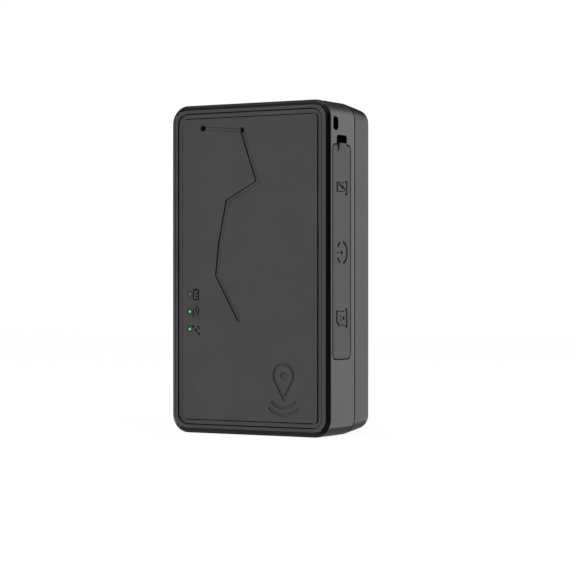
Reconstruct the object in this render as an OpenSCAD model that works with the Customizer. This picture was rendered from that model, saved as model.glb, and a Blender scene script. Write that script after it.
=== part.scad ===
// GPS tracker with a two-part moulded case and a soft flap over its ports.
// Every piece is drawn with the case lying on its front face: X across the case, Y up its height
// and Z into its depth. upright() then stands it on its bottom end, facing -Y.

/* [Case] */
// Width of the case
case_w = 60; // [58:1:70]
// Height of the case
case_h = 108; // [106:1:120]
// Depth of the case, front to back
case_d = 30; // [29:0.5:33]
// Radius of the corners of the outline
corner_r = 6; // [5.5:0.25:7]
// Thickness of the case walls
wall = 2; // [1.8:0.1:2.2]
// Depth of the front shell, down to the seam
front_d = 17.1; // [16.5:0.1:18]
// Chamfer round the front face
front_chamfer = 1.25; // [0.6:0.05:1.5]
// How far the sides of the rear shell draw in towards the back
back_draft = 1.2; // [0.8:0.1:1.5]
// Radius of the edge round the back face
back_edge_r = 1.5; // [0.8:0.1:1.7]
// Height of the shadow line along the seam
seam_w = 0.45; // [0.2:0.05:0.5]
// Depth of the shadow line along the seam
seam_inset = 0.5; // [0.2:0.05:0.5]

/* [Seal] */
// Width of the groove in the rim of the front shell
groove_w = 0.9; // [0.8:0.05:1]
// Depth of the groove
groove_depth = 1.6; // [1.4:0.1:1.8]
// Width of the tongue on the rear shell
tongue_w = 0.6; // [0.5:0.05:0.7]
// Thickness of the gasket in the groove
gasket_t = 0.6; // [0.4:0.05:0.8]

/* [Front Face] */
// Distance from the outline of the case to the channel
rim_w = 2.75; // [2.4:0.05:3]
// Width of the channel round the front panel
channel_w = 1.6; // [1:0.1:2]
// Depth of the channel
channel_depth = 0.6; // [0.3:0.05:0.8]
// Radius of the outer corners of the channel
channel_r = 3.2; // [2.5:0.1:4]
// Width of the engraved star line
star_line_w = 1.05; // [0.8:0.05:1.4]
// Depth of the engraved star line
star_line_depth = 0.5; // [0.2:0.05:0.6]
// Diameter of the two holes at the end of the star line
sound_hole_d = 1.7; // [1.2:0.1:2]
// Diameter of each indicator lamp
lamp_d = 2.1; // [1.4:0.1:2.2]
// Distance from the left side of the case to the lamps
lamp_edge = 7.4; // [6.5:0.1:8]
// Height of the middle lamp above the bottom of the case
lamp_h = 40; // [30:1:60]
// Distance from one lamp to the next
lamp_pitch = 5.75; // [4:0.25:7]

/* [Port Flap] */
// Distance from the front face to the flap
flap_near_d = 2.6; // [2.5:0.1:2.8]
// Distance from the flap to the seam
flap_seam_gap = 2.8; // [2.4:0.1:3.4]
// Height of the lower end of the flap's anchor
flap_bottom_h = 25; // [22:0.5:27]
// Thickness of the flap
flap_t = 1.4; // [1.2:0.1:1.5]
// Radius of the corners of the flap
flap_corner_r = 1.6; // [1:0.1:2.5]
// Gap behind the flap
flap_back_gap = 0.3; // [0.2:0.05:0.4]
// Thickness of the recess floor
recess_floor = 1.9; // [1.7:0.05:2]
// Gap round the edge of the flap
flap_gap = 0.15; // [0.1:0.05:0.3]
// Height of the anchor below the hinge line
anchor_h = 2.8; // [2.4:0.1:3.4]
// Gap between the flap and its anchor at the hinge line
hinge_gap = 0.2; // [0.15:0.05:0.3]
// Width of the pull tab
tab_w = 4.8; // [4:0.1:6]
// Height of the ramp that lifts the pull tab
tab_ramp_h = 2.1; // [1.5:0.1:3]
// How far the pull tab stands out of the side
tab_proud = 0.6; // [0.3:0.05:0.8]
// How far the pull tab reaches over the nail notch
tab_reach = 0.6; // [0.4:0.1:1]
// Thickness of the pull tab at its end
tab_t = 1.2; // [0.9:0.1:1.3]
// Width of the nail notch above the flap
notch_w = 6.5; // [6:0.1:8]
// Height of the nail notch above the flap
notch_h = 3; // [2.5:0.1:3.2]

/* [Ports] */
// Distance from the upper end of the flap down to the charging socket
usb_drop = 13.5; // [11:0.1:16]
// Width of the charging socket
usb_w = 8.94; // [8.9:0.01:9]
// Thickness of the charging socket
usb_t = 3.26; // [3.2:0.01:3.3]
// Length of the charging socket
usb_len = 7.3; // [7:0.1:8]
// Sheet thickness of the charging socket's shell
usb_sheet = 0.3; // [0.2:0.05:0.3]
// Distance from each side of the charging socket to its tongue
usb_tongue_side = 1.125; // [1.1:0.005:1.2]
// Thickness of the tongue in the charging socket
usb_tongue_t = 0.7; // [0.6:0.05:0.75]
// Diameter of the power button
button_d = 4.4; // [4:0.1:4.6]
// Width of the lip that holds the power button in
button_lip = 0.6; // [0.5:0.05:0.7]
// Travel of the power button
button_travel = 0.4; // [0.2:0.05:0.5]
// Distance from the lower end of the flap up to the card slot
sim_rise = 13.3; // [12:0.1:16]
// Width of the card that the slot takes
sim_card_w = 8.8; // [8.7:0.05:8.9]
// Thickness of the card that the slot takes
sim_card_t = 0.67; // [0.6:0.01:0.7]
// Width of the card socket beside the card
sim_side = 1.8; // [1.6:0.05:2]
// Length of the card socket
sim_socket_len = 13.6; // [13:0.1:14]

/* [Lanyard Corner] */
// Distance from the front face to the lanyard passage
lanyard_near_d = 2.7; // [2.5:0.1:3]
// Width of the lanyard passage
lanyard_w = 3.3; // [2.8:0.1:3.5]
// Length of each mouth of the passage
lanyard_long = 4.3; // [4:0.1:4.5]
// Distance from the top of the case to the side mouth
lanyard_drop = 5.5; // [5:0.1:5.6]
// Distance from the right side of the case to the top mouth
lanyard_side = 3.4; // [3.2:0.1:3.6]

/* [Circuit Board] */
// Thickness of the circuit board
board_t = 1.2; // [1:0.1:1.3]
// Distance from the ends of the case to the ends of the board
board_end = 12; // [11:0.5:13]
// Gap beside the board's upper tab
board_tab_gap = 0.7; // [0.5:0.1:1]
// Distance from the top of the case to the board's upper tab
board_tab_end = 4.5; // [4:0.1:5]
// Gap from the board to the walls beside it
board_gap = 0.3; // [0.2:0.05:0.4]
// Size of the satellite patch antenna
patch_size = 25; // [18:0.5:25]
// Gap from the antennas to the front wall
antenna_gap = 0.42; // [0.3:0.02:1]
// Distance from the sides of the case to the mobile network antenna
lte_side_gap = 12.5; // [12:0.5:14]
// Width of the mobile network antenna
lte_w = 9; // [7:0.5:9]
// Width of the modem module
modem_w = 17.7; // [16:0.1:18]
// Height of the modem module
modem_h = 15.8; // [15:0.1:18]
// Thickness of the modem module
modem_t = 2.4; // [2:0.1:2.5]
// Width of the shield can
can_w = 26; // [22:0.5:28]
// Height of the shield can
can_h = 22; // [18:0.5:24]
// Thickness of the shield can
can_t = 2.6; // [2:0.1:2.7]

/* [Battery] */
// Distance from the sides of the case to the battery cells
cell_side_gap = 6; // [5.5:0.1:8]
// Distance from the ends of the case to the battery cells
cell_end_gap = 12; // [11:0.5:16]
// Thickness of the foam pad between the shield can and the cells
front_foam_t = 1; // [0.9:0.05:1.5]
// Thickness of the foam pads between the cells and the magnet wells
rear_foam_t = 3.8; // [1:0.1:4.5]
// Thickness of the adhesive between the cells
cell_bond = 0.1; // [0.05:0.05:0.2]
// Radius of the cells' corners
cell_r = 2; // [1:0.1:3]
// Thickness of the protection board on top of the cells
guard_t = 1; // [0.8:0.1:1.2]
// Diameter of each battery wire
wire_d = 1; // [0.8:0.1:1.2]

/* [Magnets] */
// Diameter of each magnet
magnet_d = 15; // [13:0.5:17]
// Thickness of each magnet
magnet_t = 3; // [2.5:0.1:3.5]
// How far the magnets lie below the back face
magnet_sink = 0.2; // [0.1:0.05:0.4]
// How much nearer than half the case's width the magnet columns stand
magnet_draw_x = 3; // [2:0.5:5]
// How much wider than half the case's height the magnet rows stand
magnet_spread_y = 4; // [0:0.5:6]

/* [Screws] */
// Distance from the sides and ends of the case to each case screw
screw_inset = 6.5; // [6.4:0.05:6.8]
// Diameter of the case screws
screw_d = 2.2; // [2:0.1:2.3]
// Length of the case screws under the head
screw_len = 11; // [9:0.5:11]
// Diameter of the case screws' heads
screw_head_d = 4; // [3.8:0.1:4.1]
// Height of the case screws' heads
screw_head_h = 1.8; // [1.4:0.1:2]
// Diameter of the board screws
board_screw_d = 1.6; // [1.4:0.1:1.7]
// Diameter of the board screws' heads
board_screw_head_d = 3; // [2.6:0.1:3.2]

/* [Hidden] */
$fn = 48;

// Reach of every cut past the face that it opens
overrun = 1;
// Gap round a piece that drops into its seat
seat_gap = 0.1;
// Gap round a lamp lens, a screw or the button in its hole
hole_gap = 0.1;

// Places along the depth
flap_w = front_d - flap_near_d - flap_seam_gap;
port_axis_d = flap_near_d + flap_w / 2;
board_back_d = port_axis_d - usb_t / 2;
board_front_d = board_back_d - board_t;
antenna_t = board_front_d - wall - antenna_gap;
magnet_seat_d = case_d - magnet_sink - magnet_t;
well_floor = 1;
well_top_d = magnet_seat_d - well_floor;
battery_back_d = well_top_d - rear_foam_t;
battery_front_d = board_back_d + can_t + front_foam_t;
cell_t = (battery_back_d - battery_front_d - cell_bond) / 2;
rear_inset = wall + back_draft;
back_wall = 2;
groove_inset = wall / 2;

// Places across the case, seen from the side that carries the ports
side_x = case_w / 2;
recess_depth = flap_t + flap_back_gap;
recess_x = side_x - recess_depth;
pad_x = recess_x - recess_floor;
board_right_x = pad_x - board_gap;
board_left_x = wall + board_gap - case_w / 2;

// Corner block that the lanyard passes through
lanyard_axis_d = lanyard_near_d + lanyard_w / 2;
lanyard_far_d = lanyard_near_d + lanyard_w;
lanyard_block_wall = 1.5;
lanyard_mouth_h = case_h - lanyard_drop - lanyard_long;
lanyard_mouth_x = side_x - lanyard_side - lanyard_long;
lanyard_block_x = lanyard_mouth_x - lanyard_block_wall;

// Places up the flap, whose nail notch lies a wall below the lanyard's side mouth
flap_top_h = lanyard_mouth_h - lanyard_block_wall - notch_h;
usb_h = flap_top_h - usb_drop;
button_h = (flap_bottom_h + flap_top_h) / 2;
sim_h = flap_bottom_h + sim_rise;

// Port block behind the recess
pad_margin = 3;
pad_rim = 1;
pad_far_d = port_axis_d + flap_w / 2 + pad_rim;
pad_low_h = flap_bottom_h - pad_margin;
pad_high_h = flap_top_h + notch_h + pad_rim;

// Hinge line of the flap
hinge_h = flap_bottom_h + anchor_h + hinge_gap / 2;
flap_low_h = flap_bottom_h + anchor_h + hinge_gap;

// Pegs that hold the anchor in blind holes
peg_d = 1.6;
peg_len = 1.3;
peg_spread = 6;

// Charging socket, its tongue and the plug on the flap
usb_mouth_x = recess_x - hole_gap * 2;
usb_window_gap = 0.18;
usb_tongue_w = usb_w - 2 * usb_tongue_side;
usb_tongue_drop = 0.8;
usb_block_len = 1.6;
usb_plug_gap = 0.2;
usb_plug_depth = 2.2;

// Card socket, its window and the plug on the flap
sim_base_t = 0.5;
sim_socket_w = sim_card_w + 2 * sim_side;
sim_sheet = 0.2;
sim_slot_t = sim_card_t + hole_gap;
sim_axis_d = board_back_d + sim_base_t + sim_slot_t / 2;
sim_mouth_x = board_right_x;
sim_window_margin_w = 0.8;
sim_window_margin_t = 0.85;
sim_window_long = sim_card_w + sim_window_margin_w;
sim_window_wide = sim_card_t + sim_window_margin_t;
sim_plug_gap = 0.3;
sim_plug_depth = 1;

// Power button, its switch and the notch in the board beside it
button_top_x = recess_x - hole_gap;
button_flange_d = button_d + 2 * button_lip;
button_flange_t = 0.7;
button_stem_d = 2.4;
flange_play = 0.3;
flange_x = pad_x - flange_play;
button_stem_len = 0.5;
plunger_top_x = flange_x - button_flange_t - button_stem_len;
plunger_d = 1.6;
plunger_len = 1;
switch_w = 6;
switch_t = 3.2;
switch_len = 4;
board_notch_margin = 1.5;
board_notch_h = button_flange_d + 2 * board_notch_margin;
board_notch_x = plunger_top_x - button_travel;

// Star line, as shares of the width from the middle and of the height from the bottom
star_shares = [
    [-0.292, 0.928],
    [-0.042, 0.917],
    [0.057, 0.761],
    [-0.135, 0.705],
    [-0.182, 0.581],
    [-0.202, 0.481],
    [-0.063, 0.347],
];
stars = [for (s = star_shares) [s[0] * case_w, s[1] * case_h]];

// Lamps and the light guides behind them
lamp_x = lamp_edge - case_w / 2;
lamp_sink = 0.05;
lamp_flange_d = 3.1;
lamp_flange_t = 0.6;
led_t = 0.6;
led_w = 0.9;
led_h = 1.6;
led_play = 0.25;

// Microphone behind one hole and vent membrane behind the other
mic_w = 2.65;
mic_h = 3.5;
mic_t = 1;
boot_d = 3.6;
membrane_d = 4;
membrane_t = 0.2;

// Posts under the board and columns for the case screws
post_d = 4.4;
post_inset_x = 6;
post_inset_h = 3.5;
post_pilot_depth = 2.6;
board_screw_head_t = 1;
column_d = 6;
board_tab_w = 2 * (min(lanyard_block_x, side_x - screw_inset - column_d / 2) - board_tab_gap);
web_t = 1.2;
counterbore_gap = 0.3;
screw_seat = 4;
screw_pilot_extra = 0.5;

// Middle of each piece on the board, as shares of the board's width and height
board_low_h = board_end;
board_high_h = case_h - board_end;
board_w = board_right_x - board_left_x;
board_h = board_high_h - board_low_h;
modem_shares = [0.26, 0.27];
can_shares = [0.34, 0.62];
patch_shares = [0.5, 0.66];
lte_shares = [0.5, 0.07];
lte_len = case_w - 2 * lte_side_gap;
chip_shares = [
    [0.72, 0.9],
    [0.86, 0.66],
    [0.62, 0.4],
    [0.12, 0.86],
    [0.64, 0.2],
    [0.25, 0.62],
    [0.43, 0.62],
];
chip_sizes = [[5, 5, 2], [4, 4, 0.9], [6, 5, 0.8], [3, 3, 0.9], [7, 4, 1.2], [8, 8, 1.2], [6, 9, 1]];
can_sheet = 0.2;
can_hole_d = 1;
can_hole_pitch = 4;

// Silvering on the patch antenna, smaller than it by a margin all round
electrode_margin = 2;
electrode_t = 0.05;

// Battery wires and their connector
connector_w = 6;
connector_h = 4;
connector_t = 3.2;
connector_x = -10;
wire_pitch = 2;
wire_bend_r = 2;
wire_stub = 1;
guard_side_gap = 10;
guard_w = case_w - 2 * guard_side_gap;
guard_margin = 0.6;
guard_chip_w = 5;
guard_chip_t = 0.9;
guard_chips = 3;

cell_w = case_w - 2 * cell_side_gap;
cell_h = case_h - 2 * cell_end_gap;
cell_high_h = case_h - cell_end_gap;
guard_top_h = cell_high_h + guard_t;
connector_axis_h = guard_top_h + wire_bend_r + wire_stub;

magnet_pitch_x = case_w / 2 - magnet_draw_x;
magnet_pitch_y = case_h / 2 + magnet_spread_y;

// Stands the case on its bottom end with its front towards -Y
module upright() {
    translate([0, -case_d / 2, 0])
        rotate([90, 0, 0])
            mirror([0, 0, 1])
                children();
}

// Rectangle with round corners, centred
module rounded_rect(w, h, r) {
    for (sx = [-1, 1], sy = [-1, 1])
        translate([sx * (w / 2 - r), sy * (h / 2 - r)])
            circle(r);
    square([w - 2 * r, h], center = true);
    square([w, h - 2 * r], center = true);
}

// Slot with round ends, longer in Y
module slot(long, wide) {
    for (side = [-1, 1])
        translate([0, side * (long - wide) / 2])
            circle(d = wide);
    square([wide, long - wide], center = true);
}

// Outline of the case, drawn in by inset, with corners of radius r
module plan(inset, r) {
    translate([0, case_h / 2])
        rounded_rect(case_w - 2 * inset, case_h - 2 * inset, r);
}

// Outline of the case, drawn in by inset all round
module offset_plan(inset) {
    plan(inset, corner_r - inset);
}

// Ring between two insets from the outline of the case
module plan_ring(outer, inner) {
    difference() {
        offset_plan(outer);
        offset_plan(inner);
    }
}

// Mirrored half profile across a span: each step is [inset, depth]
function across(steps, span) = concat(
    [for (s = steps) [span / 2 - s[0], s[1]]],
    [for (i = [len(steps) - 1:-1:0]) [steps[i][0] - span / 2, steps[i][1]]]
);

// Solid whose outline draws in by the inset of each step at its depth, with round corners
module drawn_body(steps) {
    last = len(steps) - 1;
    corner = concat(
        [[0, steps[0][1]]],
        [for (s = steps) [corner_r - s[0], s[1]]],
        [[0, steps[last][1]]]
    );
    for (sx = [-1, 1], sy = [-1, 1])
        translate([sx * (case_w / 2 - corner_r), case_h / 2 + sy * (case_h / 2 - corner_r), 0])
            rotate_extrude()
                polygon(corner);
    translate([0, case_h - corner_r, 0])
        rotate([90, 0, 0])
            linear_extrude(case_h - 2 * corner_r)
                polygon(across(steps, case_w));
    translate([corner_r - case_w / 2, case_h / 2, 0])
        rotate([90, 0, 90])
            linear_extrude(case_w - 2 * corner_r)
                polygon(across(steps, case_h));
}

// Plan with X into the depth and Y up the case, drawn at x and extruded towards the middle
module into_side(x, depth) {
    translate([x, 0, 0])
        rotate([0, -90, 0])
            linear_extrude(depth)
                children();
}

// Moves a piece to a share of the board's width and height
module on_board(shares) {
    translate([board_left_x + shares[0] * board_w, board_low_h + shares[1] * board_h, 0])
        children();
}

// One copy at each corner, this far from the sides and the ends of the case
module at_corners(inset_x, inset_h) {
    for (sx = [-1, 1], sy = [-1, 1])
        translate([sx * (case_w / 2 - inset_x), case_h / 2 + sy * (case_h / 2 - inset_h), 0])
            children();
}

// Screw column with a web to the side wall and one to the end wall
module column_plans(d) {
    for (sx = [-1, 1], sy = [-1, 1])
        translate([sx * (case_w / 2 - screw_inset), case_h / 2 + sy * (case_h / 2 - screw_inset)]) {
            circle(d = d);
            translate([sx * screw_inset / 2, 0])
                square([screw_inset, web_t], center = true);
            translate([0, sy * screw_inset / 2])
                square([web_t, screw_inset], center = true);
        }
}

// Heading of the stroke that leaves star i
function heading(i) = (stars[i + 1] - stars[i]) / norm(stars[i + 1] - stars[i]);

function left_of(v) = [-v[1], v[0]];

// Where the line's left (1) or right (-1) edge turns at star i
function line_corner(i, side) =
    let (before = left_of(heading(max(i - 1, 0))))
    let (after = left_of(heading(min(i, len(stars) - 2))))
    stars[i] + side * star_line_w / 2 * (before + after) / (1 + before * after);

// Engraved line through the stars, with mitred turns and a round lower end
module star_line() {
    last = len(stars) - 1;
    along = heading(last - 1);
    polygon(concat(
        [for (i = [0:last - 1]) line_corner(i, 1)],
        [for (a = [90:-15:-90])
            stars[last] + star_line_w / 2 * (cos(a) * along + sin(a) * left_of(along))],
        [for (i = [last - 1:-1:0]) line_corner(i, -1)]
    ));
}

// Flap and anchor share this outline, X into the depth and Y up the case
module flap_plan(gap) {
    translate([port_axis_d, (flap_bottom_h + flap_top_h) / 2])
        rounded_rect(flap_w + 2 * gap, flap_top_h - flap_bottom_h + 2 * gap, flap_corner_r + gap);
}

module lamp_places() {
    for (i = [-1, 0, 1])
        translate([lamp_x, lamp_h + i * lamp_pitch, 0])
            children();
}

// Two mouths, one on the side and one on the top, that meet inside the corner
module lanyard_passage() {
    into_side(side_x + overrun, side_x + overrun - lanyard_mouth_x)
        translate([lanyard_axis_d, lanyard_mouth_h + lanyard_long / 2])
            rounded_rect(lanyard_w, lanyard_long, lanyard_w / 3);
    translate([lanyard_mouth_x + lanyard_long / 2, case_h + overrun, lanyard_axis_d])
        rotate([90, 0, 0])
            linear_extrude(case_h + overrun - lanyard_mouth_h)
                rounded_rect(lanyard_long, lanyard_w, lanyard_w / 3);
}

module front_cavity() {
    difference() {
        translate([0, 0, wall])
            linear_extrude(front_d)
                offset_plan(wall);
        linear_extrude(front_d)
            column_plans(column_d);
        // Thicker wall behind the flap
        translate([pad_x, pad_low_h, 0])
            cube([case_w, pad_high_h - pad_low_h, pad_far_d]);
        // Solid corner round the lanyard passage
        translate([lanyard_block_x, lanyard_mouth_h - lanyard_block_wall, 0])
            cube([case_w, case_h, lanyard_far_d + lanyard_block_wall]);
        // Posts under the board
        at_corners(wall + post_inset_x, board_end + post_inset_h)
            cylinder(d = post_d, h = board_front_d);
    }
}

module port_windows() {
    // Recess for the flap and the nail notch above it
    into_side(side_x + overrun, recess_depth + overrun)
        flap_plan(flap_gap);
    into_side(side_x + overrun, recess_depth + overrun)
        translate([port_axis_d, flap_top_h + notch_h / 2 - flap_corner_r / 2])
            rounded_rect(notch_w, notch_h + flap_corner_r, flap_corner_r / 2);
    into_side(side_x, side_x - pad_x + overrun)
        translate([port_axis_d, usb_h])
            slot(usb_w + 2 * usb_window_gap, usb_t + 2 * usb_window_gap);
    into_side(side_x, side_x - pad_x + overrun)
        translate([port_axis_d, button_h])
            circle(d = button_d + 2 * hole_gap);
    into_side(side_x, side_x - pad_x + overrun)
        translate([sim_axis_d, sim_h])
            slot(sim_window_long, sim_window_wide);
    for (side = [-1, 1])
        into_side(side_x, recess_depth + peg_len + seat_gap)
            translate([port_axis_d + side * peg_spread / 2, flap_bottom_h + anchor_h / 2])
                circle(d = peg_d + 2 * seat_gap);
}

module front_shell() {
    color("#3c3c3e") upright() difference() {
        drawn_body([[front_chamfer, 0], [0, front_chamfer], [0, front_d]]);
        front_cavity();
        // Channel round the front panel
        translate([0, 0, -overrun])
            linear_extrude(channel_depth + overrun)
                difference() {
                    plan(rim_w, channel_r);
                    plan(rim_w + channel_w, channel_r - channel_w);
                }
        translate([0, 0, -overrun])
            linear_extrude(star_line_depth + overrun)
                star_line();
        for (i = [0, 1])
            translate([stars[i][0], stars[i][1], -overrun])
                cylinder(d = sound_hole_d, h = wall + 2 * overrun);
        lamp_places()
            translate([0, 0, -overrun])
                cylinder(d = lamp_d, h = wall + 2 * overrun);
        port_windows();
        lanyard_passage();
        // Groove for the gasket and the tongue
        translate([0, 0, front_d - groove_depth])
            linear_extrude(groove_depth + overrun)
                plan_ring(groove_inset - groove_w / 2, groove_inset + groove_w / 2);
        at_corners(screw_inset, screw_inset)
            translate([0, 0, front_d + screw_seat - screw_len - screw_pilot_extra])
                cylinder(d = screw_d + hole_gap, h = screw_len);
        at_corners(wall + post_inset_x, board_end + post_inset_h)
            translate([0, 0, board_front_d - post_pilot_depth])
                cylinder(d = board_screw_d + hole_gap, h = post_pilot_depth + overrun);
    }
}

// Steps of the rear shell's profile, with the round edge as an arc
function rear_steps() = concat(
    [
        [seam_inset, front_d],
        [seam_inset, front_d + seam_w],
        [0, front_d + seam_w],
    ],
    [for (a = [0:15:90]) [
        back_draft + back_edge_r * (1 - cos(a)),
        case_d - back_edge_r * (1 - sin(a)),
    ]]
);

module magnet_places() {
    for (sx = [-1, 1], sy = [-1, 1])
        translate([sx * magnet_pitch_x / 2, case_h / 2 + sy * magnet_pitch_y / 2, 0])
            children();
}

module rear_shell() {
    pocket_d = magnet_d + 2 * seat_gap;
    color("#39393b") upright() difference() {
        union() {
            drawn_body(rear_steps());
            translate([0, 0, front_d - groove_depth + gasket_t])
                linear_extrude(groove_depth - gasket_t + seam_w)
                    plan_ring(groove_inset - tongue_w / 2, groove_inset + tongue_w / 2);
        }
        difference() {
            translate([0, 0, front_d - overrun])
                linear_extrude(case_d - back_wall - front_d + overrun)
                    offset_plan(rear_inset);
            translate([0, 0, front_d])
                linear_extrude(case_d)
                    column_plans(column_d + 2 * seat_gap);
            magnet_places()
                translate([0, 0, well_top_d])
                    cylinder(d = pocket_d + 2 * well_floor, h = case_d);
        }
        magnet_places()
            translate([0, 0, magnet_seat_d])
                cylinder(d = pocket_d, h = magnet_t + magnet_sink + overrun);
        at_corners(screw_inset, screw_inset) {
            translate([0, 0, front_d - overrun])
                cylinder(d = screw_d + 2 * hole_gap, h = screw_seat + 2 * overrun);
            translate([0, 0, front_d + screw_seat])
                cylinder(d = screw_head_d + 2 * counterbore_gap, h = case_d);
        }
    }
}

module perimeter_gasket() {
    color("#8c5a3c") upright()
        translate([0, 0, front_d - groove_depth])
            linear_extrude(gasket_t)
                plan_ring(groove_inset - tongue_w / 2, groove_inset + tongue_w / 2);
}

// Everything of the flap's outline above or below a height
module flap_band(low, high) {
    intersection() {
        flap_plan(0);
        translate([0, low])
            square([case_d, high - low]);
    }
}

module port_flap() {
    tab_foot_h = flap_top_h - tab_ramp_h;
    tab_top_h = flap_top_h + tab_reach;
    color("#2f2f31") upright() {
        into_side(side_x, flap_t)
            flap_band(flap_low_h, flap_top_h);
        // Pull tab on a ramp
        translate([0, 0, port_axis_d - tab_w / 2])
            linear_extrude(tab_w)
                polygon([
                    [side_x - flap_t, tab_foot_h],
                    [side_x, tab_foot_h],
                    [side_x + tab_proud, flap_top_h],
                    [side_x + tab_proud, tab_top_h],
                    [side_x + tab_proud - tab_t, tab_top_h],
                    [side_x - flap_t, flap_top_h],
                ]);
        // Ring that plugs the charging socket, clear of its tongue
        into_side(side_x - flap_t / 2, side_x - flap_t / 2 - usb_mouth_x + usb_plug_depth)
            translate([port_axis_d, usb_h])
                difference() {
                    slot(usb_w - 2 * usb_sheet - 2 * usb_plug_gap, usb_t - 2 * usb_sheet - 2 * usb_plug_gap);
                    slot(usb_tongue_w + 2 * usb_plug_gap, usb_tongue_t + 2 * usb_plug_gap);
                }
        // Rib that plugs the card slot
        into_side(side_x - flap_t / 2, recess_depth - flap_t / 2 + sim_plug_depth)
            translate([sim_axis_d, sim_h])
                slot(sim_window_long - 2 * sim_plug_gap, sim_window_wide - 2 * sim_plug_gap);
    }
}

module flap_anchor() {
    color("#2f2f31") upright() {
        into_side(side_x, recess_depth)
            flap_band(flap_bottom_h, flap_bottom_h + anchor_h);
        for (side = [-1, 1])
            into_side(side_x - recess_depth / 2, recess_depth / 2 + peg_len)
                translate([port_axis_d + side * peg_spread / 2, flap_bottom_h + anchor_h / 2])
                    circle(d = peg_d);
    }
}

module power_button() {
    color("#4a4a4c") upright()
        translate([button_top_x, button_h, port_axis_d])
            rotate([0, -90, 0]) {
                cylinder(d = button_d, h = button_top_x - flange_x + button_flange_t);
                translate([0, 0, button_top_x - flange_x])
                    cylinder(d = button_flange_d, h = button_flange_t);
                cylinder(d = button_stem_d, h = button_top_x - plunger_top_x);
            }
}

module power_switch_plunger() {
    color("#1c1c1e") upright()
        translate([plunger_top_x, button_h, port_axis_d])
            rotate([0, -90, 0])
                cylinder(d = plunger_d, h = plunger_len);
}

module power_switch() {
    color("#b9bbbe") upright()
        difference() {
            translate([plunger_top_x - button_travel - switch_len, button_h - switch_w / 2, board_back_d])
                cube([switch_len, switch_w, switch_t]);
            translate([plunger_top_x, button_h, port_axis_d])
                rotate([0, -90, 0])
                    cylinder(d = plunger_d + hole_gap, h = plunger_len + button_travel + seat_gap);
        }
}

module usb_connector() {
    color("#b9bbbe") upright()
        into_side(usb_mouth_x, usb_len)
            translate([port_axis_d, usb_h])
                difference() {
                    slot(usb_w, usb_t);
                    slot(usb_w - 2 * usb_sheet, usb_t - 2 * usb_sheet);
                }
}

module usb_tongue() {
    color("#1c1c1e") upright() {
        into_side(usb_mouth_x - usb_tongue_drop, usb_len - usb_tongue_drop)
            translate([port_axis_d, usb_h])
                square([usb_tongue_t, usb_tongue_w], center = true);
        into_side(usb_mouth_x - usb_len + usb_block_len, usb_block_len)
            translate([port_axis_d, usb_h])
                slot(usb_w - 2 * usb_sheet, usb_t - 2 * usb_sheet);
    }
}

module sim_socket_cover() {
    cover_t = sim_slot_t + sim_sheet;
    color("#b9bbbe") upright()
        difference() {
            translate([sim_mouth_x - sim_socket_len, sim_h - sim_socket_w / 2, board_back_d + sim_base_t])
                cube([sim_socket_len, sim_socket_w, cover_t]);
            translate([sim_mouth_x - sim_socket_len + sim_sheet, sim_h - sim_window_long / 2, 0])
                cube([sim_socket_len, sim_window_long, board_back_d + sim_base_t + sim_slot_t]);
        }
}

module sim_socket_base() {
    color("#1c1c1e") upright()
        translate([sim_mouth_x - sim_socket_len, sim_h - sim_socket_w / 2, board_back_d])
            cube([sim_socket_len, sim_socket_w, sim_base_t]);
}

module main_board() {
    color("#1f4d38") upright()
        difference() {
            translate([0, 0, board_front_d])
                linear_extrude(board_t)
                    difference() {
                        union() {
                            translate([board_left_x, board_low_h])
                                square([board_w, board_h]);
                            translate([-board_tab_w / 2, board_low_h])
                                square([board_tab_w, case_h - board_tab_end - board_low_h]);
                        }
                        translate([board_notch_x, button_h - board_notch_h / 2])
                            square([case_w, board_notch_h]);
                    }
            at_corners(wall + post_inset_x, board_end + post_inset_h)
                cylinder(d = board_screw_d + 2 * hole_gap, h = case_d);
        }
}

module modem_module() {
    color("#c9cbce") upright()
        on_board(modem_shares)
            translate([-modem_w / 2, -modem_h / 2, board_back_d])
                cube([modem_w, modem_h, modem_t]);
}

// Sheet lid over two of the chips, with vent holes
module shield_can() {
    color("#b9bbbe") upright()
        on_board(can_shares)
            difference() {
                translate([0, 0, board_back_d])
                    linear_extrude(can_t)
                        square([can_w, can_h], center = true);
                linear_extrude(board_back_d + can_t - can_sheet)
                    square([can_w - 2 * can_sheet, can_h - 2 * can_sheet], center = true);
                for (i = [-2:2], j = [-1:1])
                    translate([i * can_hole_pitch, j * can_hole_pitch, board_back_d])
                        cylinder(d = can_hole_d, h = can_t + overrun);
            }
}

module gnss_patch_antenna() {
    color("#d8d0bc") upright()
        on_board(patch_shares)
            translate([0, 0, board_front_d - antenna_t])
                linear_extrude(antenna_t)
                    square(patch_size, center = true);
}

// Silvered square on the patch
module gnss_patch_electrode() {
    color("#c9cbce") upright()
        on_board(patch_shares)
            translate([0, 0, board_front_d - antenna_t - electrode_t])
                linear_extrude(electrode_t)
                    rounded_rect(
                        patch_size - 2 * electrode_margin,
                        patch_size - 2 * electrode_margin,
                        electrode_margin
                    );
}

module lte_antenna() {
    color("#e4e0d4") upright()
        on_board(lte_shares)
            translate([-lte_len / 2, -lte_w / 2, board_front_d - antenna_t])
                cube([lte_len, lte_w, antenna_t]);
}

module board_chips() {
    color("#1c1c1e") upright()
        for (i = [0:len(chip_shares) - 1])
            on_board(chip_shares[i])
                translate([-chip_sizes[i][0] / 2, -chip_sizes[i][1] / 2, board_back_d])
                    cube(chip_sizes[i]);
}

module status_leds() {
    color("#f2f2e6") upright()
        lamp_places()
            translate([-led_w / 2, -led_h / 2, board_front_d - led_t])
                cube([led_w, led_h, led_t]);
}

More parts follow.
